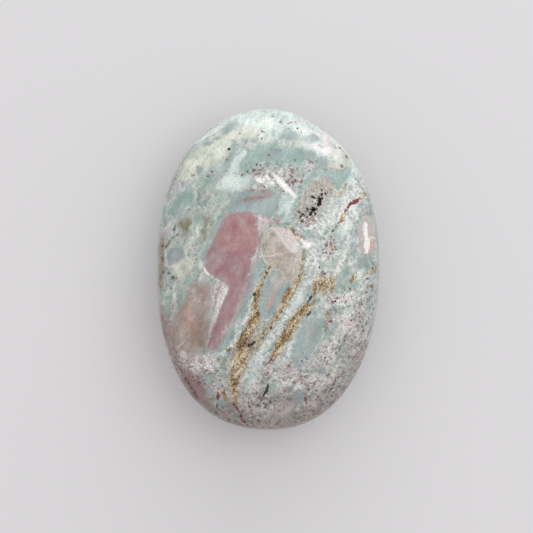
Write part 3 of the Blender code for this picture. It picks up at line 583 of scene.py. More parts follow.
        ("routes", 0.12, 0.8, ((1.1, 9.6, 0.1), (0.2, 9, 0.12), (-0.6, 8.1, 0.08), (-1.25, 6.8, 0.06),
         (-1.6, 5, 0.08), (-1.55, 3.6, 0.14), (-1.1, 2.4, 0.18), (-0.5, 1.5, 0.2), (0.4, 0.9, 0.2),
         (1.2, 0.1, 0.14), (2.6, -0.2, 0.1), (3.3, -1.4, 0.1), (4, -2.6, 0.1))),
        ("routes", 0.12, 0.55, ((-1.5, 3.8, 0.06), (0, 3.9, 0.08), (1.8, 4.2, 0.06))),
        ("routes", 0.12, 0.5, ((-1.5, 4.8, 0.05), (0, 4.8, 0.08), (1.6, 4.8, 0.05)), ((-0.6, 1.8, 0.06),
         (0.8, 2.3, 0.08), (2.6, 2.9, 0.05))),
        ("routes", 0.12, 0.45, ((-1.2, 6.2, 0.05), (0.2, 5.8, 0.07), (1.4, 5.4, 0.05))),
        ("routes", 0.12, 0.4, ((0.4, 1, 0.05), (1.4, 1.8, 0.07), (2.6, 2.6, 0.05))),
    ),
    "tint": (
        ("ovals", 0.9, 0.8, (2.4, 4.4, 0.7, 0.9, 10), (0.9, 7.6, 0.5, 0.7, 30), (1.7, 2.4, 0.35, 1, 90),
         (5.1, 3, 0.3, 0.9, 95)),
        ("ovals", 0.5, 0.5, (3.4, 3.9, 0.3, 0.7), (1.5, 9.5, 0.3, 0.6, 80), (4.6, -1.4, 0.4, 0.7),
         (6, 0.4, 0.3, 0.5)),
        ("ovals", 0.4, 0.7, (8.5, 12.7, 0.4, 0.5), (9.6, 11.2, 0.5, 0.4), (8.6, 10.8, 0.4, 0.3),
         (13.6, 17.3, 0.25, 0.4), (9.6, 16.1, 0.2, 0.7, 90), (12.7, 16.8, 0.3, 0.4), (13.6, 17.2, 0.25, 0.5),
         (14.2, 18.5, 0.4, 0.25), (9.9, 10.8, 0.25, 0.4), (9.4, 16, 0.3, 0.8, 85), (12.5, 16.6, 0.3, 0.4),
         (9.2, 11.4, 0.4, 0.3), (10.7, 18.4, 0.3, 0.4, 30), (9, 17.2, 0.3, 0.4)),
        ("ovals", 0.2, 0.85, (3.4, 7.9, 0.14, 0.16), (4.05, 7.9, 0.14, 0.16), (4.6, 7.55, 0.14, 0.16),
         (3.8, 8.5, 0.12, 0.16), (4.9, 6.9, 0.12, 0.14), (3.3, 7.1, 0.12, 0.14), (4.2, 7.1, 0.12, 0.14),
         (5.2, 7.5, 0.12, 0.14)),
        ("dots", 0.4, 0.7, (0.3, (6.6, 12.9), (10.2, 10.4), (7.4, 10.9), (12, 18.4), (8.2, 12.4),
         (12.4, 17.6))),
    ),
    "ochre": (
        ("outlines", 1.4, 0.42, ((10.2, -0.9), (11.6, -0.5), (13, -1), (14.4, -1.4), (14.9, -3.2),
         (14.4, -4.8), (13, -5.3), (11.4, -5), (10.4, -4.4))),
        ("routes", 1.6, 0.46, ((-4.4, -16, 1.2), (-5.4, -18, 2), (-6.4, -20.4, 2.1), (-7.2, -23, 1.7),
         (-7.6, -25.6, 1.4), (-7.4, -28, 1.1), (-7.2, -29.6, 0.5))),
        ("routes", 1.2, 0.68, ((-1.6, -2.8, 0.45), (-1.9, -4, 0.6), (-2.4, -5.2, 0.7), (-2.6, -6.8, 0.5),
         (-2.8, -8, 0.45), (-2.7, -9.6, 0.9), (-3, -11, 1.1), (-3.8, -12.6, 1), (-4.6, -14.2, 1.1),
         (-5.5, -15.8, 1.2), (-6.8, -16.8, 0.7))),
        ("routes", 1.2, 0.43, ((1.5, -11, 0.8), (0.2, -12.2, 0.8), (-0.9, -13.4, 0.8), (-1.8, -15, 0.9),
         (-3, -17, 0.9))),
        ("routes", 1.1, 0.72, ((9.4, -7.9, 0.4), (8.3, -8.4, 0.8), (7.4, -9.2, 0.85), (6.5, -10.2, 0.8),
         (5.5, -11.4, 0.9), (4.8, -12.6, 1), (4.2, -13.8, 0.95), (3.3, -15.4, 0.9), (2.5, -16.8, 0.85),
         (1.7, -18.2, 0.65), (1, -19.4, 0.4), (0.6, -20.2, 0.2))),
        ("routes", 1.1, 0.6, ((6.8, -1.6, 0.4), (6.4, -2.6, 0.5), (5.7, -3.8, 0.6), (5, -4.9, 0.9),
         (4, -6.3, 0.85), (3.3, -7.4, 0.7), (2.8, -8.6, 0.7))),
        ("routes", 1.1, 0.52, ((2.8, -8.6, 0.7), (2.3, -9.8, 0.7), (1.5, -11, 0.7))),
        ("routes", 0.9, 0.6, ((10.5, -2.4, 0.45), (10.3, -3.9, 0.55), (10, -5.5, 0.35))),
        ("routes", 0.8, 0.3, ((15, 27, 0.12), (16.2, 26.3, 0.2), (17.3, 25.2, 0.2), (18, 24.2, 0.12))),
        ("routes", 0.7, 0.5, ((7.9, 3.8, 0.25), (7.7, 2, 0.35), (7.3, 0.4, 0.45), (6.9, -1, 0.4))),
        ("routes", 0.6, 0.85, ((7.9, -8.2, 0.3), (6.6, -9.8, 0.35), (5, -11.6, 0.4), (4.2, -13.2, 0.35),
         (2.9, -15.6, 0.3))),
        ("routes", 0.6, 0.66, ((4.7, 9.6, 0.35), (5.5, 8.4, 0.3), (6.2, 7.4, 0.35), (6.9, 6.8, 0.45))),
        ("routes", 0.5, 0.85, ((0.4, 0.6, 0.3), (-0.3, -0.7, 0.4), (-0.7, -1.4, 0.3), (-1.4, -2.2, 0.2))),
        ("routes", 0.5, 0.75, ((16.7, 12.2, 0.2), (16.3, 11.2, 0.38), (15.8, 10.4, 0.2))),
        ("routes", 0.5, 0.7, ((13.8, -1.3, 0.2), (14.3, -2.4, 0.35), (14.3, -3.6, 0.3), (13.8, -4.9, 0.2))),
        ("ovals", 0.9, 0.42, (13.1, -9.8, 0.6, 1.5, 5), (12.2, -5.4, 0.6, 0.5)),
        ("ovals", 0.9, 0.3, (12.6, -12.6, 0.5, 0.9, 5)),
        ("ovals", 0.8, 0.8, (3.7, -6.6, 0.5, 0.7, 40), (2.6, -9, 0.4, 0.6, 20)),
        ("ovals", 0.6, 0.7, (18.6, -2.1, 0.5, 0.9, 40), (19.3, -1, 0.3, 0.4), (-9.9, -26.6, 0.35, 0.5),
         (-9.2, -28.2, 0.45, 0.9, -40), (16.2, 11.6, 0.3, 0.35), (16.5, 10.9, 0.25, 0.5, 20),
         (16.8, 18.1, 0.25, 0.6, 25), (15.2, 16.2, 0.3, 0.9, 60), (20.9, 16.4, 0.35, 0.45, 30),
         (20.3, 15.7, 0.3, 0.35, 40), (-8.6, -17.6, 0.4, 0.7, 90), (22.6, -3.6, 0.4, 0.45, 60),
         (22.1, -0.9, 0.4, 0.6, 60), (23.4, 0, 0.35, 0.7), (-8.4, -23.5, 0.25, 0.35, 90),
         (15.5, 26.6, 0.2, 0.35, -50)),
        ("ovals", 0.5, 0.9, (6.7, 6.9, 0.3, 0.5, 60), (4.9, 9.3, 0.25, 0.4, 60)),
        ("ovals", 0.5, 0.75, (-9.8, -26.8, 0.4, 0.7, -15), (-9.3, -28, 0.4, 0.8, -30),
         (-7.6, -24.4, 0.4, 0.9)),
        ("ovals", 0.3, 0.8, (7.5, 6.8, 0.2, 0.5, 90), (8, 5, 0.2, 0.3), (7.9, -1.2, 0.16, 0.4, 90),
         (6.7, -1.4, 0.3, 0.5, 60)),
        # A painted highlight: an orange glint in a tiny pit
        ("ovals", 0.12, 0.95, (-9.2, 24, 0.22, 0.4, 55)),
        ("dots", 0.8, 0.8, (0.5, (5.1, -4.8))),
        ("dots", 0.6, 0.7, (0.35, (-10.9, -19.7)), (0.34, (14.4, 4.9))),
    ),
    "grit": (
        ("outlines", 0.8, 0.95, ((8.6, 18.2), (10, 19.4), (11.8, 20.1), (13.8, 19.6), (14.6, 18.2),
         (13.9, 16.6), (12.8, 15.2), (12, 13.8), (11.5, 12), (11, 10.6), (10.2, 9.6), (9, 9), (7.6, 9.2),
         (6.6, 10.2), (6.1, 11.6), (6.1, 13), (6.5, 14.2), (7.1, 15.4), (8, 16.8))),
    ),
    "halo": (
        ("ovals", 1.6, 0.45, (21.6, 7, 1.9, 4.6)),
        ("ovals", 1.4, 0.42, (-4.2, 7.2, 0.9, 2.2), (-3.4, 5, 0.5, 1), (-6.6, 6.4, 0.6, 1.6, 30)),
        ("ovals", 1, 0.8, (20.5, 6.4, 0.4, 2.8), (20.8, 4.4, 0.5, 0.9), (21.4, 10.9, 0.7, 0.5)),
        ("ovals", 0.9, 0.9, (22.8, 5.5, 0.6, 1.3, 15), (22.3, 4.5, 0.5, 0.6)),
    ),
    "maroon": (
        ("routes", 0.6, 0.6, ((-7.7, -29.6, 0.2), (-6.9, -30.5, 0.26), (-6, -32.1, 0.26),
         (-5.3, -33.2, 0.28), (-4.6, -34.2, 0.24))),
        # A dark band at the lower left edge: in part the stone's own maroon, in part painted shade
        ("routes", 0.5, 0.7, ((-17.9, -24, 0.3), (-16.6, -26.4, 0.4), (-15.6, -28, 0.4))),
        ("routes", 0.5, 0.6, ((-11, -27.2, 0.22), (-11, -28, 0.26), (-11.3, -29.6, 0.2),
         (-11.4, -31.2, 0.16))),
        ("routes", 0.4, 0.8, ((20.2, 15.4, 0.3), (19.4, 15.1, 0.56), (18.7, 14.6, 0.62), (18, 14.5, 0.5),
         (17.4, 13.7, 0.42), (16.7, 12.7, 0.24))),
        ("routes", 0.4, 0.7, ((15.9, 10.7, 0.12), (15, 9.7, 0.24), (14.3, 8.8, 0.22), (13.9, 7.8, 0.12))),
        ("ovals", 0.5, 0.45, (-15.8, -23.6, 0.35, 0.4), (-0.4, -33.4, 0.3, 0.8, 90),
         (-15.2, -24.8, 0.3, 0.5, 60), (-14, -24.8, 0.3, 0.4)),
        ("ovals", 0.4, 0.62, (-6.5, 29.8, 0.3, 0.4, 60), (-5.9, 29.5, 0.3, 0.36),
         (-5.9, 30.4, 0.26, 0.36, 80), (-1.1, 30.2, 0.3, 0.6, 85), (-1.4, 28.6, 0.28, 0.32)),
        ("ovals", 0.35, 0.62, (-16.6, -20.3, 0.24, 0.3), (-15.2, -21.2, 0.2, 0.34, 40),
         (-13.9, -20.2, 0.22, 0.26), (-16.1, -22.1, 0.24, 0.3), (-13, -22.4, 0.2, 0.3, 60),
         (12.4, -19.2, 0.26, 0.9, 10), (12.7, -17, 0.24, 0.7, 20), (10.2, -18.6, 0.24, 0.5, 50),
         (16.2, -19.9, 0.24, 0.5, 60), (15.2, -23.8, 0.24, 0.5, 20), (14.2, -25.4, 0.22, 0.6, 10),
         (9.8, -25.4, 0.26, 0.6, 30), (19.6, -16.6, 0.22, 0.5, 30), (20.6, -15, 0.24, 0.3),
         (7.4, -23.6, 0.24, 0.4), (5.6, -24.8, 0.24, 0.5, 60), (9.1, -26.4, 0.24, 0.5),
         (13.6, -27.6, 0.24, 0.5, 70), (11.4, -22, 0.2, 0.5, 80)),
        ("ovals", 0.35, 0.6, (-16.8, 20.6, 0.3, 0.4), (0.4, 26.3, 0.35, 0.45, 60), (1.8, 23.5, 0.25, 0.3),
         (-1.1, 30.2, 0.22, 0.5, 85), (4.3, 31.9, 0.28, 0.34, 90), (5.3, 31.1, 0.24, 0.3, 90),
         (6.4, 30.8, 0.2, 0.26), (5.9, 32.2, 0.25, 0.3), (7.3, 30, 0.2, 0.25), (8.3, 29.8, 0.25, 0.3, 90),
         (9.2, 23.4, 0.22, 0.6, 30), (8.8, 23.2, 0.2, 0.5, 25), (9, 21.4, 0.22, 0.6, 75),
         (9.7, 23, 0.2, 0.5, 20), (14.5, -24.2, 0.16, 0.9, 10), (9.6, -25.4, 0.22, 0.4),
         (9, -26.2, 0.2, 0.45, 10), (7.7, 21, 0.2, 0.25), (10.8, 23.7, 0.22, 0.3), (2.6, 32.3, 0.3, 0.4, 20),
         (15.6, 26.5, 0.22, 0.4, -45), (14.1, 27.2, 0.2, 0.4, -40), (-2.2, 29.4, 0.2, 0.25),
         (2.7, 26.2, 0.18, 0.26), (-20.1, 17.2, 0.2, 0.26, 60), (20.4, 20, 0.2, 0.25),
         (20.7, 18.9, 0.2, 0.3), (-0.8, 34.4, 0.22, 0.28), (5.9, 24.8, 0.16, 0.28),
         (-20.85, -7.9, 0.2, 0.35), (-20.35, 9.5, 0.18, 0.25), (20.3, -5.9, 0.2, 0.3, 90),
         (19.1, -9, 0.15, 0.2), (1.9, 10.3, 0.2, 0.25), (-23.1, 2.5, 0.2, 0.25), (10.6, 30.1, 0.1, 1.2, 125),
         (12.8, 5.6, 0.28, 0.3), (13.7, 5.8, 0.3, 0.4), (13.2, 2.5, 0.26, 0.45, 90), (18.3, -19, 0.18, 0.2),
         (4.9, -20.4, 0.25, 0.4, 90)),
        ("ovals", 0.3, 0.6, (13.2, 5, 0.16, 0.2), (12.4, 4.6, 0.14, 0.16), (13.9, 5.2, 0.16, 0.2),
         (12.9, 3.9, 0.14, 0.2), (13.5, 6.3, 0.14, 0.16)),
        ("ovals", 0.25, 1, (-5.7, 20.65, 0.22, 0.3, 60), (-0.9, 18.1, 0.2, 0.25),
         (-6.9, -30.5, 0.32, 0.5, -30), (-6, -32.1, 0.36, 0.45, -20), (-5.3, -33.2, 0.34, 0.36),
         (-6.4, -31.3, 0.2, 0.3, -30), (-11, -27.9, 0.4, 0.5, -20), (-11.3, -29.8, 0.28, 0.5),
         (-11.4, -31.2, 0.2, 0.4)),
        ("ovals", 0.2, 1, (14.6, -6.95, 0.26, 0.36, 75), (14, -7.1, 0.2, 0.3, 90),
         (13.8, -11.3, 0.26, 0.3, 80), (12.4, 3.7, 0.14, 0.5, 90)),
        ("ovals", 0.2, 0.95, (3.4, 17.35, 0.25, 0.28), (7.2, 19.4, 0.25, 0.5), (-12.5, 21.35, 0.22, 0.3, 90),
         (-13.3, 20.3, 0.2, 0.28, 70), (-7.05, 21.1, 0.2, 0.24), (5.85, 23.8, 0.22, 0.24, 90),
         (0.1, 24.9, 0.22, 0.25), (7.9, 4, 0.2, 0.28), (14.8, 4.3, 0.2, 0.3, 90), (14.2, 4.4, 0.15, 0.4, 90),
         (14.3, 6.5, 0.22, 0.28, 90), (13.7, 6.9, 0.18, 0.2), (13.6, 3.5, 0.2, 0.22),
         (14.1, 8.4, 0.22, 0.25, 20), (14.6, 9.2, 0.2, 0.4, 40), (15.4, 10.2, 0.2, 0.35, 40),
         (11.9, 3.5, 0.2, 0.26, 90), (14.5, -6.95, 0.2, 0.32, 75), (13.9, -7.1, 0.14, 0.25, 90),
         (21.7, -2.2, 0.2, 0.36, 110), (21.4, -5.1, 0.25, 0.28, 90), (22.8, 0.1, 0.22, 0.28),
         (17.8, -4.3, 0.18, 0.28), (16.9, -6.8, 0.18, 0.2), (16.5, -6, 0.18, 0.2),
         (18.1, -11.15, 0.25, 0.28, 90), (13.7, -11.25, 0.22, 0.26, 90), (14.7, -9, 0.14, 0.2),
         (22, -10.7, 0.2, 0.25, 90), (20.2, -11.3, 0.18, 0.2), (17.9, -12.1, 0.14, 0.25, 90),
         (20.7, -12.5, 0.18, 0.25, 60), (21, -13.4, 0.2, 0.28, 90), (16.55, -15.6, 0.2, 0.22, 90),
         (16.3, -22.8, 0.18, 0.42, 55), (13.2, -23, 0.18, 0.28, 90), (0.55, -19.9, 0.2, 0.28, 30),
         (0.3, -20.6, 0.15, 0.2), (0.4, -28.9, 0.24, 0.28), (3.5, -13.5, 0.18, 0.5, 25),
         (-10.9, -23.2, 0.22, 0.24), (-11.6, -22.7, 0.16, 0.3, 120), (-11, -27.8, 0.32, 0.45, -10),
         (-11, -27.1, 0.2, 0.3), (-11.25, -29.6, 0.24, 0.6, 5), (-11.2, -31.2, 0.16, 0.45),
         (-6.8, -30.5, 0.24, 0.35, -30), (-6.05, -31.9, 0.24, 0.4, -25), (-5.3, -33.1, 0.24, 0.4, -25),
         (-4.7, -34, 0.24, 0.3), (-2, -28.3, 0.18, 0.22), (-3.3, 21.5, 0.2, 0.24), (-4.5, 21.3, 0.18, 0.24),
         (-2.6, 22.8, 0.2, 0.32), (-1.75, 22.7, 0.2, 0.24), (5.2, 20.2, 0.2, 0.24), (5.4, 21.3, 0.2, 0.22),
         (-1.3, 19.9, 0.18, 0.28, 90), (5.6, 18.6, 0.2, 0.4, 20), (4.4, 18.3, 0.18, 0.22),
         (4.45, 19.5, 0.15, 0.22), (-2.1, -33, 0.22, 0.4), (8.2, -28.4, 0.2, 0.5)),
        ("ovals", 0.16, 0.7, (12.1, 5.4, 0.16, 0.22, 60), (12.6, 4.9, 0.14, 0.2, 30),
         (12.9, 6.1, 0.14, 0.24), (13.4, 5.6, 0.14, 0.2, -40), (13.9, 4.9, 0.14, 0.22, 60),
         (12.8, 3.2, 0.14, 0.22), (12.2, 2.8, 0.14, 0.2, 60), (13.8, 2.9, 0.14, 0.2, -30),
         (14.3, 3.6, 0.14, 0.2), (13.2, 7.8, 0.14, 0.24, 20), (13.8, 8.1, 0.14, 0.2),
         (14.6, 7.3, 0.14, 0.2, 40), (12.4, 7.2, 0.14, 0.16), (11.6, 4.7, 0.14, 0.2, 80),
         (12.5, 0.4, 0.14, 0.2, 60)),
        ("ovals", 0.14, 0.62, (11, 4.6, 0.12, 0.16), (11.6, 3.6, 0.1, 0.14), (12.7, 4.4, 0.12, 0.14),
         (13.4, 3.8, 0.1, 0.16), (11.3, 5.7, 0.1, 0.16), (13.1, 5.4, 0.12, 0.14), (14, 4.6, 0.1, 0.14),
         (12.6, 6.4, 0.12, 0.16), (10.8, 3.3, 0.1, 0.12)),
        ("dots", 0.35, 0.6, (0.35, (3.6, 20.7)), (0.25, (-19.75, -7)), (0.22, (-4.8, 33.3))),
        ("dots", 0.25, 1, (0.32, (-7.65, -29.6)), (0.3, (19.4, 15.1), (17.5, 13.8))),
        ("dots", 0.2, 1, (0.2, (13.2, -11.9))),
        ("dots", 0.2, 0.95, (0.24, (-7.6, -29.6)), (0.2, (-4.2, -29.4)), (0.15, (13.2, -11.8))),
        ("dots", 0.14, 0.62, (0.12, (12.2, 2.9))),
    ),
    "white": (
        # A painted highlight: the white spindle on the right edge
        ("outlines", 0.4, 1, ((20.95, 9.7), (21.25, 10.4), (21.6, 10.1), (21.7, 9), (21.75, 8), (21.85, 7),
         (22.15, 6.2), (22.1, 5.2), (21.95, 4.6), (21.6, 3.5), (21.2, 3.6), (21.2, 4.4), (20.8, 5.1),
         (21.05, 6.2), (21.2, 7), (21.1, 8), (20.9, 9))),
        # Painted highlights: a flash right of the quartz patch here, and a streak at X 1 to 6, Y 16 to 21
        # below
        ("routes", 0.9, 0.9, ((7.3, 6.4, 0.2), (8.1, 5.9, 0.4), (8.9, 5.3, 0.4))),
        ("routes", 0.7, 0.85, ((1.2, 21.1, 0.1), (2.5, 19.5, 0.3), (3.8, 18.1, 0.36), (5, 16.9, 0.32),
         (5.9, 15.9, 0.12))),
        ("routes", 0.7, 0.62, ((22, 6.6, 0.2), (22.6, 7.1, 0.24), (23.5, 6.8, 0.14))),
        ("routes", 0.5, 0.55, ((-9, -4.4, 0.24), (-9.7, -6.2, 0.2), (-10.8, -8.8, 0.16),
         (-11.7, -11.4, 0.12))),
        ("routes", 0.4, 0.6, ((7.6, 9.4, 0.1), (8.4, 8.9, 0.2), (9.4, 8.9, 0.2), (10, 9.5, 0.1))),
        ("routes", 0.3, 0.8, ((-14, 0.3, 0.1), (-13.8, -0.4, 0.16), (-13.3, -1, 0.16), (-12.8, -1.4, 0.1))),
        # Fine lines of the same painted highlight streak
        ("routes", 0.25, 0.6, ((1, 20, 0.05), (2.6, 18.3, 0.1), (4, 16.9, 0.08))),
        ("routes", 0.25, 0.5, ((2.4, 20.6, 0.05), (3.8, 19, 0.1), (5.2, 17.6, 0.06))),
        ("routes", 0.25, 0.45, ((-0.4, 20.2, 0.05), (1.2, 18.6, 0.1), (2.6, 17.4, 0.06))),
        ("routes", 0.2, 0.5, ((-3.9, 2, 0.08), (-3, 2.9, 0.1), (-2, 3.6, 0.08))),
        ("routes", 0.2, 0.45, ((-3.4, 0.8, 0.06), (-2.6, 1.7, 0.08), (-1.9, 2.2, 0.06))),
        ("routes", 0.15, 0.5, ((-14.6, 14.6, 0.06), (-13.8, 13.5, 0.08), (-13.2, 12.8, 0.06))),
        ("routes", 0.15, 0.45, ((-13.3, 9.2, 0.06), (-12.6, 8.6, 0.08), (-11.8, 8.2, 0.06))),
        ("routes", 0.15, 0.42, ((-15.3, 13.7, 0.08), (-14.2, 13.1, 0.12), (-13.1, 11.8, 0.08))),
        ("routes", 0.15, 0.4, ((-13.2, 17, 0.06), (-12.4, 16.4, 0.08), (-11.6, 16.1, 0.06))),
        ("routes", 0.15, 0.38, ((-12.4, 16.3, 0.08), (-11.8, 15.5, 0.1), (-11.3, 14.7, 0.06))),
        # A soft glow of painted highlight round the flash right of the quartz patch
        ("ovals", 1.4, 0.4, (8.8, 5, 0.6, 1, 80)),
        # A painted highlight: the white blob near X -1.5, Y 19.5
        ("ovals", 0.6, 0.85, (-1.5, 19.4, 0.4, 0.8, 105), (-0.2, 20, 0.3, 0.4), (0.7, 18.8, 0.25, 0.35, 60)),
        ("ovals", 0.3, 0.44, (8.6, 17.6, 0.14, 0.2), (10.2, 18.4, 0.16, 0.2), (12.2, 18.9, 0.16, 0.24, 30),
         (10, 16.8, 0.14, 0.2), (8.4, 14.4, 0.16, 0.22), (9.2, 15.2, 0.14, 0.2), (7.4, 14, 0.12, 0.16),
         (11.2, 17, 0.14, 0.2), (10.3, 11.2, 0.2, 0.24), (9.4, 9.4, 0.3, 0.4, 80),
         (13.2, 16.4, 0.14, 0.3, 20), (12.3, 15.2, 0.14, 0.3, 20), (11.9, 14.4, 0.12, 0.3)),
        ("ovals", 0.25, 0.7, (9.9, 12, 0.16, 0.18), (10.6, 10.9, 0.18, 0.26, 30), (6.9, 10.2, 0.14, 0.16),
         (7.2, 13.6, 0.12, 0.14), (9.4, 12.7, 0.1, 0.12), (10.2, 14.9, 0.16, 0.2), (8.9, 11.5, 0.12, 0.14),
         (9.3, 10.4, 0.14, 0.16)),
        ("dots", 0.25, 0.7, (0.2, (7.6, 11.3)), (0.14, (8, 10.9))),
    ),
    # In the pitted patch, about X 6 to 14 and Y 9 to 19, these black marks are painted shade of its hollows
    "black": (
        ("outlines", 0.1, 1, ((0, -25), (0.2, -25.8), (0, -26.6), (-0.6, -27.3), (-1.4, -28), (-1, -26.8),
         (-0.6, -26))),
        ("routes", 0.3, 0.42, ((2.2, -27.9, 0.2), (1.6, -28.6, 0.24), (-0.2, -29.5, 0.24),
         (-0.9, -30, 0.16))),
        ("routes", 0.2, 1, ((9.5, -5.6, 0.16), (9.2, -6.2, 0.24), (8.7, -7.2, 0.24)), ((9.4, -9.4, 0.22),
         (9, -9.9, 0.28), (8.5, -10.5, 0.16))),
        ("ovals", 1, 0.26, (8.8, 12, 2, 3, 40), (11.6, 16.4, 0.8, 1.2)),
        ("ovals", 1, 0.2, (10.4, -5.4, 0.4, 1.2, 20), (13.6, 18, 0.5, 0.7)),
        ("ovals", 0.5, 0.42, (11, 14.9, 0.5, 1.3, -5), (9.8, 12.7, 0.7, 1.2, 25), (11.7, 16.3, 0.4, 0.8, 15),
         (9.8, 15.7, 0.3, 0.8, -85), (7.1, 12.3, 0.4, 0.8, -60), (7.4, 10.5, 0.3, 0.6, 90),
         (8.6, 11.8, 0.5, 0.8), (12.4, 16.6, 0.25, 0.5), (8.4, 13.2, 0.4, 0.6, 60), (10.2, 12, 0.4, 0.5)),
        ("ovals", 0.3, 0.65, (-11, -24.7, 0.1, 0.5, 60), (2.9, 17.7, 0.16, 0.2), (1.4, 18.6, 0.14, 0.18),
         (2.9, -9.1, 0.2, 0.25), (1.8, -11.2, 0.16, 0.3, 90), (-4.6, -15.2, 0.2, 0.35, 60),
         (3.2, -23.9, 0.15, 0.3, 30), (4.3, -26.5, 0.2, 0.3)),
        ("ovals", 0.3, 0.55, (0.5, -12.9, 0.24, 0.34), (-0.6, -14, 0.2, 0.24), (-1.2, -15.2, 0.28, 0.4, 40),
         (0.9, -12, 0.2, 0.24), (-2, -15.4, 0.18, 0.24, 60), (-0.2, -13.2, 0.16, 0.2),
         (1.8, -10.4, 0.2, 0.24), (-2.9, -10.6, 0.2, 0.34, 70), (-5, -14.6, 0.24, 0.5, 40),
         (-5.3, -15.8, 0.24, 0.5, 60), (-4, -12.8, 0.16, 0.24), (-3.9, -15.4, 0.2, 0.3),
         (-0.5, -0.9, 0.2, 0.24)),
        ("ovals", 0.3, 0.5, (3.7, -26.5, 0.24, 0.4), (4.4, -26.4, 0.2, 0.3, 60), (11.7, 17.4, 0.24, 0.28),
         (12.7, 16.4, 0.14, 0.4), (10.1, 12.4, 0.24, 0.3), (10.3, 12, 0.2, 0.24), (7.9, 10.4, 0.2, 0.22),
         (8.4, 13.3, 0.24, 0.2), (9.2, 13.3, 0.18, 0.2), (9.5, 11.3, 0.2, 0.24), (8.6, 10.9, 0.18, 0.22),
         (9.9, 11, 0.18, 0.3), (8.3, 10, 0.16, 0.2), (6.5, 11.3, 0.16, 0.18), (7.7, 13.1, 0.16, 0.18),
         (6.3, 12.9, 0.14, 0.16), (9.4, 14.4, 0.16, 0.18), (10.2, 14.3, 0.18, 0.2), (12, 15.6, 0.22, 0.26),
         (9, 9.6, 0.14, 0.16), (8, 11.9, 0.16, 0.18), (7.5, 9.7, 0.12, 0.14), (12.2, 5.9, 0.14, 0.16),
         (12.9, 5.3, 0.14, 0.2), (13.5, 4.1, 0.16, 0.18), (12.3, 4.2, 0.14, 0.16), (13.9, 7.4, 0.14, 0.16),
         (13.1, 7, 0.12, 0.16), (11.8, 0.2, 0.14, 0.16), (12.6, -0.2, 0.14, 0.2), (13.2, -0.6, 0.14, 0.16),
         (8, 4.9, 0.22, 0.24)),
        ("ovals", 0.25, 0.7, (2, -28.3, 0.24, 0.46, 50), (-0.2, -29.5, 0.24, 0.26)),
        ("ovals", 0.25, 0.6, (-23.3, 2.4, 0.28, 0.32), (-23.1, -0.6, 0.22, 0.25),
         (-23.5, -1.8, 0.22, 0.5, 10), (-21.1, -4.2, 0.2, 0.22), (-22.2, 5.1, 0.22, 0.55, 25),
         (-23.2, 5.1, 0.22, 0.4), (-20.7, -1.7, 0.22, 0.3), (-21.5, 6.1, 0.16, 0.4, 30),
         (-20.5, 8.7, 0.14, 0.3), (-14.4, 5.4, 0.14, 0.16), (-16.4, 4.2, 0.14, 0.16),
         (-17.3, 6.1, 0.14, 0.16), (-15.7, 3.2, 0.12, 0.14)),
        ("ovals", 0.2, 1, (-3.2, -16.2, 0.34, 0.7, 45), (-4, -16.5, 0.34, 0.4), (-3, -5.5, 0.28, 0.46, 25)),
        ("ovals", 0.2, 0.42, (1.75, 5.95, 0.22, 0.24)),
        ("ovals", 0.15, 0.9, (12.45, 16.6, 0.2, 0.3), (8.4, 11.6, 0.18, 0.25, 30), (7.1, 11.5, 0.18, 0.25),
         (10.6, 13.1, 0.18, 0.24)),
        ("ovals", 0.15, 0.85, (0.15, 0.35, 0.18, 0.2), (-0.5, -0.7, 0.2, 0.22), (-8.6, 26.2, 0.22, 0.38, 45),
         (17.2, 24.6, 0.26, 0.36, -30), (16.2, 22.4, 0.34, 0.38), (6.4, 30.8, 0.16, 0.2),
         (-20.35, 9.5, 0.12, 0.18), (7.1, -1.1, 0.14, 0.4, 90), (6.6, -1.5, 0.24, 0.26),
         (12.3, -0.9, 0.2, 0.3, 60), (11.8, -0.8, 0.14, 0.2), (11.2, 0.5, 0.18, 0.24),
         (12.5, 0.8, 0.12, 0.5, 80), (12.1, 6.5, 0.16, 0.24), (11.8, 4.2, 0.16, 0.22),
         (13.6, 3.4, 0.16, 0.2), (13.7, 7.1, 0.14, 0.2), (14.8, 4.3, 0.14, 0.2, 60), (11.2, -8, 0.12, 0.3),
         (10.8, -7.8, 0.12, 0.16), (12.3, -6.2, 0.16, 0.22), (-13.7, 25.6, 0.12, 0.16)),
        ("ovals", 0.1, 0.85, (8.4, 13.3, 0.16, 0.2, 80), (9.1, 13.4, 0.14, 0.16), (10.6, 13.1, 0.15, 0.2),
         (10.35, 12.1, 0.16, 0.24), (8.5, 11.6, 0.16, 0.18), (7, 11.4, 0.12, 0.2), (6.4, 11.2, 0.12, 0.14),
         (7.75, 10.4, 0.12, 0.16), (12.6, 16.5, 0.12, 0.24), (11.9, 15.4, 0.15, 0.2),
         (10.2, 14.35, 0.12, 0.16), (9.6, 14.8, 0.12, 0.14), (8.2, 10.1, 0.1, 0.2, 60),
         (8.7, 9.6, 0.12, 0.16), (9.8, 10.6, 0.12, 0.24), (9.1, 11.1, 0.12, 0.14), (11.4, 18.2, 0.1, 0.12),
         (8.8, 12.6, 0.12, 0.2, 40), (7.6, 13.3, 0.1, 0.12), (9.4, 10, 0.1, 0.14)),
        ("dots", 0.3, 0.5, (0.14, (11.8, 3.4), (14.3, 5.7), (12.6, 1.2), (11.2, -0.4))),
        ("dots", 0.25, 0.6, (0.3, (-18.6, 9.7)), (0.25, (-21.8, -0.9)), (0.22, (-23.4, -3.9))),
        ("dots", 0.15, 0.85, (0.2, (2.7, -10.6))),
    ),
    # Painted shade with a warm painted reflection along the lower rim and the left edge, in part over the
    # stone's own brown stain. The patches on the face only darken what lies there.
    "dusk": (
        ("outlines", 3, 0.65, ((-26, -10), (-21, -12), (-18, -22), (-12, -29.4), (0, -31.8), (9, -29.6),
         (17, -24), (22, -22), (10, -38), (-18, -36))),
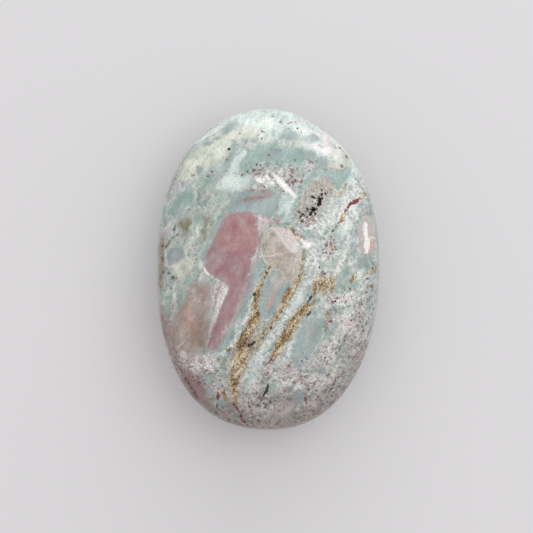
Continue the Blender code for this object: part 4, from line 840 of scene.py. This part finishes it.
        ("routes", 1.6, 0.9, ((-24, -9, 0.4), (-22.6, -14.6, 0.8), (-20, -20.6, 0.8), (-15.6, -28.4, 1.2),
         (-10, -32.4, 1.4), (-4, -35, 1.4), (2, -35.6, 1.2))),
        ("routes", 0.5, 0.5, ((-22.4, 16, 0.3), (-20.6, 20.6, 0.25), (-18, 25, 0.2))),
        ("ovals", 2, 0.7, (-8, -31, 1.6, 4, 80), (-15.4, -26, 1.4, 3, -20)),
        ("ovals", 2, 0.45, (4, -28.4, 2, 4, 90), (-14.6, -14, 3, 5), (-19.4, -9, 1.4, 3, 10),
         (20, -21, 1, 4, 30)),
        ("ovals", 1.6, 0.3, (-7.6, -30.8, 1.2, 3, 80), (-12.2, -28, 1, 2.4, -40)),
        ("ovals", 1, 0.45, (-5.2, -15.3, 0.9, 1.9, 42), (-3.2, -11.4, 0.5, 1.4, 20)),
        ("ovals", 0.4, 0.18, (-20, 3.1, 1.8, 1.4)),
    ),
}

# The back's own marks. The photo doesn't show it: they are more of the same rock
BACK_MARKS = {
    "milk": (("routes", 1, 0.85, ((-20, 4, 1.2), (-12, 10, 1.6), (-6, 17, 1.4), (-2, 26, 1))),),
    "cream": (("outlines", 1.5, 0.8, ((6, 30), (14, 23), (19, 11), (12, 5), (6, 14), (0, 22))),),
    "slate": (("routes", 0.8, 0.9, ((-20, 9, 1.4), (-12, 14, 2), (-4, 21, 1.8), (0, 30, 1.2))),),
    "mauve": (("outlines", 0.7, 0.95, ((-4, 8), (3, 6), (9, -4), (7, -13), (1, -9), (-3, -1))),),
    "rose": (("outlines", 1.8, 0.7, ((-3, 6), (3, 4), (7, -4), (5, -9), (1, -5))),),
    "dust": (("ovals", 2.5, 0.35, (13, -14, 3, 6, 20), (-13, -4, 2, 5, 40)),),
    "ochre": (
        ("routes", 0.7, 0.75, ((-15, -22, 0.5), (-9, -13, 0.9), (-5, -3, 0.6), (-7, 8, 0.8), (-3, 18, 0.4))),
    ),
    "white": (("routes", 0.3, 0.9, ((12, 0, 0.15), (10, -5, 0.4), (8.5, -9, 0.2))),),
}


def linear(value):
    """An sRGB colour, written as hex digits, as the linear numbers that Blender works with."""
    shares = [int(value[place : place + 2], 16) / 255 for place in (1, 3, 5)]
    return [share / 12.92 if share <= 0.04045 else ((share + 0.055) / 1.055) ** 2.4 for share in shares]


def colour(name, description, value):
    """A colour that the user can change."""
    return bpy.props.FloatVectorProperty(
        name=name, description=description, default=linear(value), size=3, min=0, max=1, subtype="COLOR"
    )


class StoneShape(bpy.types.PropertyGroup):
    """The stone's size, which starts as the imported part's."""

    length: bpy.props.FloatProperty(
        name="Length", description="From end to end", default=STONE_HIGH.y - STONE_LOW.y, unit="LENGTH"
    )
    width: bpy.props.FloatProperty(
        name="Width", description="From side to side", default=STONE_HIGH.x - STONE_LOW.x, unit="LENGTH"
    )
    thickness: bpy.props.FloatProperty(
        name="Thickness", description="From the flat spot to the face", default=STONE_HIGH.z - STONE_LOW.z,
        unit="LENGTH",
    )
    pit_depth: bpy.props.FloatProperty(
        name="Pit depth", description="How deep the pits are, as a share of the part's", default=1.0,
        min=0, max=2, subtype="FACTOR",
    )


def tones():
    """The tones of all minerals, as colours that the user can change."""
    return {
        f"{mineral}_{tone}": colour(f"{mineral.title()}, {tone}", f"The {tone} tone of {what}", value)
        for mineral, (what, *values) in MINERALS.items()
        for tone, value in zip(TONES, values)
    }


class JasperColours(bpy.types.PropertyGroup):
    """The ground's stain, the tint of the painted shade and stain at the lower rim, and each mineral's deep,
    middle and light tone.
    """

    ground_warm: colour("Ground, warm", "Stained grains of the ground", "#b1a3a0")
    # Painted shade, in part over a brown stain: what is left of each colour at the lower rim and the left
    # edge
    dusk: colour("Dusk", "What the stain at the lower rim leaves of each colour", "#b59e96")


JasperColours.__annotations__.update(tones())


class StageSettings(bpy.types.PropertyGroup):
    """The floor, the lights and the camera."""

    floor: colour("Floor", "Pale matte board that the stone lies on", "#dcdadc")
    window: bpy.props.FloatProperty(
        name="Window", description="Power of the wide low light beyond the stone's upper end", default=6,
        min=0, unit="POWER",
    )
    overhead: bpy.props.FloatProperty(
        name="Overhead", description="Power of the soft light above the camera's right", default=2.0,
        min=0, unit="POWER",
    )
    room: bpy.props.FloatProperty(
        name="Room", description="Strength of the even light from all round", default=0.78, min=0
    )
    camera_height: bpy.props.FloatProperty(
        name="Camera height", description="From the stone's waist up to the camera", default=0.45,
        unit="LENGTH",
    )
    view_width: bpy.props.FloatProperty(
        name="View width", description="What the picture shows from side to side, at the stone's waist",
        default=0.11655, unit="LENGTH",
    )


class PalmStoneSettings(bpy.types.PropertyGroup):
    """All that a user would change."""

    shape: bpy.props.PointerProperty(type=StoneShape)
    colours: bpy.props.PointerProperty(type=JasperColours)
    stage: bpy.props.PointerProperty(type=StageSettings)


def outline_reach(cosine, sine):
    """How far the stone's outline reaches at an angle, where 1 is half the width or half the length."""
    upper, lower, right, left = 1 + sine, 1 - sine, 1 + cosine, 1 - cosine
    power = (
        POWER_UPPER_RIGHT * upper * right
        + POWER_UPPER_LEFT * upper * left
        + POWER_LOWER_LEFT * lower * left
        + POWER_LOWER_RIGHT * lower * right
    ) / 4
    reach = (np.abs(cosine) ** power + np.abs(sine) ** power) ** (-1 / power)
    for angle, width, share in (FLATTENED_SHOULDER, FULLER_SIDE):
        away = (np.arctan2(sine, cosine) - angle) / width
        reach = reach * (1 + share * np.exp(-away * away))
    return reach


def skin(directions, shape):
    """The points of the stone's skin that unit directions from its middle stand for."""
    level = np.hypot(directions[:, 0], directions[:, 1])
    at_pole = level < 1e-9
    safe = np.where(at_pole, 1, level)
    cosine, sine = np.where(at_pole, 1, directions[:, 0] / safe), directions[:, 1] / safe
    up = directions[:, 2]
    dome = (level**DOME_POWER + np.abs(up) ** DOME_POWER) ** (-1 / DOME_POWER)
    across = level * dome * outline_reach(cosine, sine)
    face_rise = shape.thickness * FACE_SHARE
    waist = shape.thickness - face_rise
    rise = np.where(up > 0, face_rise, waist + FLAT_CUT)
    x, y = shape.width / 2 * across * cosine, shape.length / 2 * across * sine
    return np.stack((x, y, waist + rise * up * dome), axis=1)


def fit(points, shape):
    """Draws the finished points in or out by a hair, so that the stone measures what its settings say."""
    middle = (STONE_LOW + STONE_HIGH) / 2
    for axis, size in enumerate((shape.width, shape.length)):
        low, high = points[:, axis].min(), points[:, axis].max()
        points[:, axis] = middle[axis] + (points[:, axis] - (low + high) / 2) * size / (high - low)


def inside_oval(x, y, centre_x, centre_y, half_width, half_length, lean=0):
    """How far inside an oval each point lies, in millimetres. It is below zero outside."""
    turn = math.radians(lean)
    across = (x - centre_x) * math.cos(turn) - (y - centre_y) * math.sin(turn)
    along = (x - centre_x) * math.sin(turn) + (y - centre_y) * math.cos(turn)
    return (1 - np.hypot(across / half_width, along / half_length)) * min(half_width, half_length)


def inside_dots(x, y, radius, *places):
    """How far inside the nearest dot each point lies."""
    return radius - np.min([np.hypot(x - place[0], y - place[1]) for place in places], axis=0)


def from_stretch(x, y, start, end):
    """How far each point is from a straight stretch, and where along it the nearest place is, 0 to 1."""
    run_x, run_y = end[0] - start[0], end[1] - start[1]
    along = ((x - start[0]) * run_x + (y - start[1]) * run_y) / (run_x**2 + run_y**2)
    along = np.clip(along, 0, 1)
    return np.hypot(x - start[0] - along * run_x, y - start[1] - along * run_y), along


def inside_route(x, y, *route):
    """How far inside a band each point lies. The route's points are X, Y and half-width."""
    inside = np.full(len(x), -np.inf)
    for start, end in zip(route, route[1:]):
        away, along = from_stretch(x, y, start, end)
        half_width = start[2] + along * (end[2] - start[2])
        inside = np.maximum(inside, half_width - away)
    return inside


def inside_outline(x, y, *corners):
    """How far inside a closed outline each point lies."""
    nearest = np.full(len(x), np.inf)
    within = np.zeros(len(x), bool)
    for start, end in zip(corners, corners[1:] + corners[:1]):
        away, _ = from_stretch(x, y, start, end)
        nearest = np.minimum(nearest, away)
        crosses = (start[1] > y) != (end[1] > y)
        rise = end[1] - start[1] or 1e-9
        within ^= crosses & (x < start[0] + (y - start[1]) * (end[0] - start[0]) / rise)
    return np.where(within, nearest, -nearest)


INSIDE = {"ovals": inside_oval, "dots": inside_dots, "routes": inside_route, "outlines": inside_outline}


def marked_share(x, y, marks):
    """A mineral's share of the surface at each point, from 0 to 1, as its marks give it."""
    share = np.zeros(len(x))
    for kind, softness, most, *shapes in marks:
        inside = np.max([INSIDE[kind](x, y, *shape) for shape in shapes], axis=0)
        rise = np.clip(0.5 + inside / (2 * softness), 0, 1)
        share = np.maximum(share, most * rise * rise * (3 - 2 * rise))
    return share


def pit_depths(points, shape):
    """How deep the pits are at each point of the face, in metres. Their walls are steep and ragged."""
    x, y = points[:, 0] / MM, points[:, 1] / MM
    deepest = np.zeros(len(points))
    near = inside_oval(x, y, *PATCH) > -1
    chips = [noise.fractal(Vector(point) / EDGE_CHIPS, 0.8, 2.0, 2) for point in points[near]]
    ragged = np.zeros(len(points))
    ragged[near] = CHIP_SHIFT + CHIP_STRENGTH * np.array(chips)
    for centre_x, centre_y, half_width, half_length, depth, lean in PITS:
        inside = inside_oval(x, y, centre_x, centre_y, half_width, half_length, lean)
        away = 1 - inside / min(half_width, half_length) + ragged
        bowl = np.sqrt(np.clip(1 - np.abs(away) ** 3, 0, 1)) * (away < 1)
        deepest = np.maximum(deepest, depth * MM * bowl)
    return deepest * shape.pit_depth * (points[:, 2] > shape.thickness / 2)


def finer(mesh, chosen):
    """Halves the edges of the chosen faces and keeps every point on the ball."""
    edges = list({edge for face in chosen for edge in face.edges})
    bmesh.ops.subdivide_edges(mesh, edges=edges, cuts=1, use_grid_fill=True)
    bmesh.ops.triangulate(mesh, faces=mesh.faces)
    for vertex in mesh.verts:
        vertex.co.normalize()


def stone_mesh(shape):
    """A ball, twice as fine on the face and again in the pitted patch, shaped as the stone."""
    ball = bmesh.new()
    bmesh.ops.create_icosphere(ball, subdivisions=BALL_LEVELS, radius=1.0)
    finer(ball, [face for face in ball.faces if face.calc_center_median().z > FINE_LEVEL])
    middles = np.array([face.calc_center_median().normalized() for face in ball.faces])
    places = skin(middles, shape) / MM
    in_patch = (inside_oval(places[:, 0], places[:, 1], *PATCH) > 0) & (middles[:, 2] > 0)
    ball.faces.ensure_lookup_table()
    finer(ball, [ball.faces[index] for index in np.nonzero(in_patch)[0]])
    points = skin(np.array([vertex.co for vertex in ball.verts]), shape)
    fit(points, shape)
    points[:, 2] -= pit_depths(points, shape)
    for vertex, point in zip(ball.verts, points):
        vertex.co = point
    cut_flat_spot(ball)
    data = bpy.data.meshes.new("palm_stone_skin")
    ball.to_mesh(data)
    ball.free()
    return data


def cut_flat_spot(mesh):
    """Cuts the lowest of the back away at the level of the floor, and closes the cut."""
    cut = bmesh.ops.bisect_plane(
        mesh,
        geom=mesh.verts[:] + mesh.edges[:] + mesh.faces[:],
        dist=1e-6,
        plane_co=(0, 0, 0),
        plane_no=(0, 0, -1),
        clear_outer=True,
    )
    rim = [item for item in cut["geom_cut"] if isinstance(item, bmesh.types.BMEdge)]
    bmesh.ops.holes_fill(mesh, edges=rim)
    bmesh.ops.triangulate(mesh, faces=[face for face in mesh.faces if len(face.verts) > 3])
    bmesh.ops.recalc_face_normals(mesh, faces=mesh.faces)
    for vertex in mesh.verts:
        vertex.co.z = max(vertex.co.z, 0.0)


def lay_marks(data, shape):
    """Writes each mineral's share of the surface to the mesh, as an attribute of the mineral's name."""
    points = np.zeros(len(data.vertices) * 3)
    data.vertices.foreach_get("co", points)
    points = points.reshape(-1, 3)
    waist = shape.thickness * (1 - FACE_SHARE)
    depth = np.maximum(0, (waist - points[:, 2]) / MM + SHOULDER)
    wobble = np.array([noise.noise_vector(Vector(point) / WOBBLE_SIZE) for point in points])
    drift = np.array([noise.noise_vector(Vector(point) / DRIFT_SIZE) for point in points])
    spread = VIEW_HEIGHT / (VIEW_HEIGHT - np.maximum(0, points[:, 2] - waist) / MM)
    x, y = (
        VIEW_CENTRE[axis]
        + (points[:, axis] / MM - VIEW_CENTRE[axis]) * spread
        + WOBBLE * wobble[:, axis]
        + depth * (SLIDE[axis] + DRIFT * drift[:, axis])
        for axis in (0, 1)
    )
    fade = np.clip((FACE_REACH - depth) / FACE_FADE + 0.5, 0, 1)
    for mineral, marks in FACE_MARKS.items():
        share = marked_share(x, y, marks)
        if mineral in FACE_ONLY:
            share = share * fade
        if mineral in BACK_MARKS:
            back = marked_share(points[:, 0] / MM, points[:, 1] / MM, BACK_MARKS[mineral])
            share = np.maximum(share * (fade + 0.5), back * (1 - fade))
        # Painted shade in the pits: the black grows with their depth
        if mineral == "black":
            deeper = (pit_depths(points, shape) / MM - PIT_DARK_FROM) / PIT_DARK_OVER
            share = np.maximum(share, PIT_DARK * np.clip(deeper, 0, 1))
        layer = data.attributes.new(mineral, "FLOAT", "POINT")
        layer.data.foreach_set("value", np.clip(share, 0, 1).astype(np.float32))


def add(tree, kind, inputs=None, stops=(), **settings):
    """Adds one shader node, makes its settings and ramp stops, and sets or links its inputs."""
    node = tree.nodes.new("ShaderNode" + kind)
    for name, value in settings.items():
        setattr(node, name, value)
    for socket, value in (inputs or {}).items():
        if isinstance(value, bpy.types.NodeSocket):
            tree.links.new(value, node.inputs[socket])
        else:
            node.inputs[socket].default_value = value
    for index, (position, tone) in enumerate(stops):
        elements = node.color_ramp.elements
        element = elements[index] if index < len(elements) else elements.new(position)
        element.position = position
        element.color = list(tone) + [1]
    return node


def toned(tree, colours, mineral, shade, stops):
    """The colour of a mineral's grains: its three tones, picked by the shade."""
    tones = [getattr(colours, f"{mineral}_{tone}") for tone in TONES]
    return add(tree, "ValToRGB", {"Fac": shade}, stops=zip(stops, tones)).outputs["Color"]


def lay(tree, look, colours, mineral, holes, crispness, shade, stops=(0.1, 0.5, 0.9)):
    """Lays a mineral over the look below it, and gives the new look and where the mineral covers it.

    The mineral covers the grains whose value in the field of holes is below its share. Crispness 1
    gives an even veil instead, and 6 gives hard-edged grains. The shade picks the mineral's tone.
    """
    share = add(tree, "Attribute", attribute_name=mineral).outputs["Fac"]
    raised = add(tree, "Math", {0: share, 1: crispness}, operation="MULTIPLY").outputs[0]
    cover = add(
        tree, "Math", {0: holes, 1: 1 - crispness, 2: raised}, operation="MULTIPLY_ADD", use_clamp=True
    ).outputs[0]
    tone = toned(tree, colours, mineral, shade, stops)
    return add(tree, "Mix", {0: cover, 6: look, 7: tone}, data_type="RGBA").outputs[2], cover


def grain_fields(tree, place):
    """Values from 0 to 1 that vary through the rock: grains, cells, clouds, streaks and their blends."""
    # Streaks lie along the veins, 30 degrees to the right of the stone's length
    streaked = add(
        tree, "Mapping", {"Vector": place, "Rotation": (0, 0, math.radians(-30)), "Scale": (1, 3.8, 2.2)},
        vector_type="TEXTURE",
    ).outputs["Vector"]
    fields = {}
    # The name, the size in millimetres, the detail and roughness of the noise, and its space
    for name, size, detail, roughness, space in (
        ("fine", 0.42, 2, 0.6, place),
        ("coarse", 0.9, 3, 0.65, place),
        ("cloud", 4.0, 3, 0.6, place),
        ("streak", 1.0, 3, 0.62, streaked),
        ("curl", 1.3, 1, 0.5, place),
    ):
        inputs = {"Vector": space, "Scale": 1 / (size * MM), "Detail": detail, "Roughness": roughness}
        parts = add(tree, "SeparateColor", {"Color": add(tree, "TexNoise", inputs).outputs["Color"]})
        for letter, part in zip("abc", parts.outputs):
            evened = {"Value": part, "From Min": 0.32, "From Max": 0.68}
            fields[f"{name}_{letter}"] = add(tree, "MapRange", evened).outputs["Result"]
    folded = add(tree, "Math", {0: fields["curl_a"], 1: 0.5}, operation="PINGPONG").outputs[0]
    fields["curl"] = add(tree, "Math", {0: folded, 1: 2}, operation="MULTIPLY").outputs[0]

    # Sugary grains are cells with a tone each, their edges bent by a weaker noise
    bend = add(tree, "TexNoise", {"Vector": place, "Scale": 1 / (0.5 * MM), "Detail": 1}).outputs["Color"]
    bent = add(
        tree, "VectorMath", {0: bend, 1: (0.35 * MM,) * 3, 2: place}, operation="MULTIPLY_ADD"
    ).outputs["Vector"]
    for name, size in (("cell", 0.4), ("small", 0.27)):
        cells = add(tree, "TexVoronoi", {"Vector": bent, "Scale": 1 / (size * MM)}).outputs["Color"]
        parts = add(tree, "SeparateColor", {"Color": cells}).outputs
        fields.update(zip((f"{name}_a", f"{name}_b", f"{name}_c"), parts))
    # The veins are a net of iron stain round pale cells
    net = add(tree, "TexVoronoi", {"Vector": bent, "Scale": 1 / (0.8 * MM)}, feature="DISTANCE_TO_EDGE")
    net = {"Value": net.outputs["Distance"], "From Max": 0.4}
    fields["net"] = add(tree, "MapRange", net).outputs["Result"]

    # Each blend has a name, the second field's part in it, and the two fields
    for name, part, first, second in (
        ("sugar", 0.45, "cell_a", "fine_a"),
        ("sugar", 0.4, "sugar", "curl"),
        ("smooth", 0.5, "streak_b", "coarse_b"),
        ("blobs", 0.5, "cloud_c", "coarse_b"),
        ("ragged", 0.4, "coarse_a", "streak_a"),
        ("rough", 0.35, "coarse_b", "fine_b"),
        ("sprinkled", 0.3, "cell_c", "coarse_c"),
        ("sprinkled_fine", 0.25, "small_a", "coarse_c"),
        ("between", 0.4, "sprinkled_fine", "curl"),
        ("netted", 0.45, "small_a", "streak_c"),
        ("netted", 0.45, "netted", "net"),
        ("stained", 0.5, "small_b", "streak_a"),
        ("soft", 0.5, "streak_c", "cloud_a"),
        ("soft", 0.25, "soft", "fine_c"),
        ("cloudy", 0.3, "cloud_b", "streak_b"),
        ("cloudy", 0.2, "cloudy", "fine_a"),
        ("sugary", 0.25, "cell_b", "fine_c"),
        ("glassy", 0.4, "cloudy", "small_b"),
    ):
        fields[name] = add(tree, "Mix", {0: part, 2: fields[first], 3: fields[second]}).outputs[0]
    return fields


def ground(tree, colours, fields):
    """The grains that all else lies on: white among grey-green ones, and a warmer clay lower down."""
    # A grain's value picks its tone. Pale marks raise it by up to 0.6, and streaks by up to 0.4
    pale = add(tree, "Attribute", attribute_name="pale").outputs["Fac"]
    lifted = add(tree, "Math", {0: pale, 1: 0.6, 2: fields["sugar"]}, operation="MULTIPLY_ADD").outputs[0]
    drawn = add(tree, "Math", {0: fields["streak_b"], 1: 0.4, 2: lifted}, operation="MULTIPLY_ADD").outputs[0]
    value = add(tree, "MapRange", {"Value": drawn, "From Min": 0.3, "From Max": 1.5}).outputs["Result"]
    # Calm marks leave a quarter of the grain and make the rest smooth
    calm = add(tree, "Attribute", attribute_name="calm").outputs["Fac"]
    calmed = add(tree, "Math", {0: calm, 1: 0.75}, operation="MULTIPLY").outputs[0]
    smooth = {"Value": fields["smooth"], "To Min": 0.22, "To Max": 0.72}
    smooth = add(tree, "MapRange", smooth).outputs["Result"]
    value = add(tree, "Mix", {0: calmed, 2: value, 3: smooth}).outputs[0]
    stops = (0.05, 0.45, 0.9)
    look = toned(tree, colours, "ground", value, stops)
    # Few of the cells are stained: those with a value from 0.83 up
    warm = list(colours.ground_warm) + [1]
    stain = add(
        tree, "Math", {0: fields["cell_b"], 1: 4, 2: -3.3}, operation="MULTIPLY_ADD", use_clamp=True
    ).outputs[0]
    look = add(tree, "Mix", {0: stain, 6: look, 7: warm}, data_type="RGBA").outputs[2]
    return lay(tree, look, colours, "clay", fields["blobs"], 2.0, value, stops)[0]


def polished_jasper(colours):
    """Jasper with chalcedony and quartz, tumbled smooth and polished: opaque, with a soft even gloss."""
    material = bpy.data.materials.new("polished_jasper")
    material.use_nodes = True
    tree = material.node_tree
    shader = tree.nodes["Principled BSDF"]
    fields = grain_fields(tree, add(tree, "TexCoord").outputs["Object"])
    look = ground(tree, colours, fields)
    covers = {}
    # The mineral, the field of its holes, its crispness, the field of its shade, and the ramp's stops
    for mineral, holes, crispness, shade, *stops in (
        ("milk", "ragged", 2.2, "soft"),
        ("cream", "ragged", 2.2, "soft"),
        ("lilac", "sprinkled_fine", 2.5, "sugary"),
        ("teal", "ragged", 1.9, "cloudy"),
        ("slate", "ragged", 1.8, "soft"),
        ("tan", "ragged", 1.8, "soft"),
        ("olive", "rough", 1.5, "soft"),
        ("peach", "ragged", 1.6, "soft"),
        ("mauve", "ragged", 1.6, "cloudy"),
        ("rose", "ragged", 1.5, "cloudy"),
        ("wine", "ragged", 1.4, "cloudy"),
        ("veil", "ragged", 1.5, "soft"),
        ("lace", "rough", 1.9, "soft"),
        ("dust", "between", 6, "sugary", (0.25, 0.6, 0.95)),
        ("quartz", "rough", 6, "glassy"),
        ("frost", "rough", 2.0, "glassy"),
        ("cracks", "rough", 1.15, "soft"),
        ("ochre", "netted", 2.4, "stained", (0.2, 0.5, 0.85)),
        ("grit", "rough", 3, "sugary"),
        ("tint", "rough", 1.5, "soft"),
        ("halo", "rough", 1.8, "fine_c"),
        ("maroon", "rough", 3.5, "fine_c"),
        ("white", "rough", 2.2, "fine_a"),
        ("black", "sprinkled", 5, "fine_c"),
    ):
        look, covers[mineral] = lay(
            tree, look, colours, mineral, fields[holes], crispness, fields[shade], *stops
        )
    # Painted shade with a warm painted reflection, in part over a brown stain, darkens the lower rim and
    # the left edge, and all has a faint grain of 7 percent
    dusk = add(tree, "Attribute", attribute_name="dusk").outputs["Fac"]
    dark = list(colours.dusk) + [1]
    look = add(tree, "Mix", {0: dusk, 6: look, 7: dark}, data_type="RGBA", blend_type="MULTIPLY").outputs[2]
    grain = {"Value": fields["fine_b"], "To Min": 0.93, "To Max": 1.07}
    grain = add(tree, "MapRange", grain).outputs["Result"]
    look = add(tree, "VectorMath", {0: look, "Scale": grain}, operation="SCALE").outputs["Vector"]
    tree.links.new(look, shader.inputs["Base Color"])

    # The polish is duller on the iron stain and on the sugary crystals
    rough = 0.24
    for mineral, more in (("ochre", 0.15), ("grit", 0.3)):
        duller = {0: covers[mineral], 1: more, 2: rough}
        rough = add(tree, "Math", duller, operation="MULTIPLY_ADD").outputs[0]
    tree.links.new(rough, shader.inputs["Roughness"])
    shader.inputs["IOR"].default_value = 1.54

    # The open pocket's crystals stand up a few hundredths of a millimetre
    rise = add(tree, "Math", {0: covers["grit"], 1: fields["cell_b"]}, operation="MULTIPLY").outputs[0]
    relief = add(tree, "Bump", {"Strength": 0.4, "Distance": 0.06 * MM, "Height": rise}).outputs["Normal"]
    tree.links.new(relief, shader.inputs["Normal"])
    return material


def palm_stone(settings):
    """The polished stone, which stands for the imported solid."""
    data = stone_mesh(settings.shape)
    lay_marks(data, settings.shape)
    data.shade_smooth()
    data.set_sharp_from_angle(angle=SHARP_ANGLE)
    data.materials.append(polished_jasper(settings.colours))
    stone = bpy.data.objects.new("polished_stone", data)
    bpy.context.scene.collection.objects.link(stone)
    return stone


def matte_board(stage):
    """Card with a matte white coat: it shows no gloss, only a trace of its fibres."""
    material = bpy.data.materials.new("matte_card")
    material.use_nodes = True
    tree = material.node_tree
    shader = tree.nodes["Principled BSDF"]
    place = add(tree, "TexCoord").outputs["Object"]
    fibres = add(tree, "TexNoise", {"Vector": place, "Scale": FIBRES_PER_MM / MM, "Detail": 2})
    tone = list(stage.floor) + [1]
    shaded = [share * FIBRE_SHADE for share in stage.floor] + [1]
    look = add(tree, "Mix", {0: fibres.outputs["Fac"], 6: tone, 7: shaded}, data_type="RGBA").outputs[2]
    tree.links.new(look, shader.inputs["Base Color"])
    shader.inputs["Roughness"].default_value = 0.9
    shader.inputs["Specular IOR Level"].default_value = 0.2
    return material


def floor(stage):
    """A wide flat floor at the level that the stone lies on."""
    mesh = bmesh.new()
    bmesh.ops.create_grid(mesh, x_segments=1, y_segments=1, size=FLOOR_REACH)
    data = bpy.data.meshes.new("floor")
    mesh.to_mesh(data)
    mesh.free()
    data.materials.append(matte_board(stage))
    made = bpy.data.objects.new("floor", data)
    bpy.context.scene.collection.objects.link(made)


def soft_light(name, power, target, size, place):
    """A soft light that faces the stone."""
    data = bpy.data.lights.new(name, "AREA")
    data.energy = power
    data.shape = "RECTANGLE"
    data.size, data.size_y = size
    made = bpy.data.objects.new(name, data)
    made.location = place
    made.rotation_euler = (target - Vector(place)).to_track_quat("-Z", "Y").to_euler()
    bpy.context.scene.collection.objects.link(made)


def room_light(strength):
    """Even pale light from all round."""
    world = bpy.data.worlds.new("room")
    world.use_nodes = True
    background = world.node_tree.nodes["Background"]
    background.inputs["Color"].default_value = (1, 1, 1, 1)
    background.inputs["Strength"].default_value = strength
    bpy.context.scene.world = world


def camera(stage, shape):
    """The camera looks straight down on the face, a little up and left of its middle, as the photo does."""
    data = bpy.data.cameras.new("camera")
    data.sensor_width = SENSOR
    data.lens = SENSOR * stage.camera_height / stage.view_width
    data.clip_start = 0.01
    made = bpy.data.objects.new("camera", data)
    waist = shape.thickness * (1 - FACE_SHARE)
    made.location = (VIEW_CENTRE[0] * MM, VIEW_CENTRE[1] * MM, waist + stage.camera_height)
    bpy.context.scene.collection.objects.link(made)
    bpy.context.scene.camera = made


class PALM_STONE_OT_stone(bpy.types.Operator):
    """Make the polished stone"""

    bl_idname = "palm_stone.stone"
    bl_label = "Stone"

    def execute(self, context):
        piece = palm_stone(context.scene.palm_stone)
        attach(piece, "root")
        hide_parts(NODE)
        return {"FINISHED"}


class PALM_STONE_OT_stage(bpy.types.Operator):
    """Make the floor, the lights and the camera"""

    bl_idname = "palm_stone.stage"
    bl_label = "Stage"

    def execute(self, context):
        settings = context.scene.palm_stone
        stage = settings.stage
        middle = Vector((0, 0, settings.shape.thickness / 2))
        floor(stage)
        soft_light("window", stage.window, middle, **WINDOW)
        soft_light("overhead", stage.overhead, middle, **OVERHEAD)
        room_light(stage.room)
        camera(stage, settings.shape)
        context.scene.view_settings.view_transform = "Standard"
        return {"FINISHED"}


class PALM_STONE_PT_panel(bpy.types.Panel):
    """Makes the stone and its stage, and holds their settings"""

    bl_idname = "PALM_STONE_PT_panel"
    bl_label = "Palm stone"
    bl_space_type = "VIEW_3D"
    bl_region_type = "UI"
    bl_category = "Palm stone"

    def draw(self, context):
        settings = context.scene.palm_stone
        for group, operator in (
            (settings.shape, PALM_STONE_OT_stone),
            (settings.colours, None),
            (settings.stage, PALM_STONE_OT_stage),
        ):
            box = self.layout.box()
            for name in group.__annotations__:
                box.prop(group, name)
            if operator:
                box.operator(operator.bl_idname)


CLASSES = (
    StoneShape,
    JasperColours,
    StageSettings,
    PalmStoneSettings,
    PALM_STONE_OT_stone,
    PALM_STONE_OT_stage,
    PALM_STONE_PT_panel,
)


def register():
    for kind in CLASSES:
        bpy.utils.register_class(kind)
    bpy.types.Scene.palm_stone = bpy.props.PointerProperty(type=PalmStoneSettings)


def unregister():
    del bpy.types.Scene.palm_stone
    for kind in reversed(CLASSES):
        bpy.utils.unregister_class(kind)


def main():
    register()
    bpy.ops.palm_stone.stone()
    bpy.ops.palm_stone.stage()


if __name__ == "__main__":
    main()
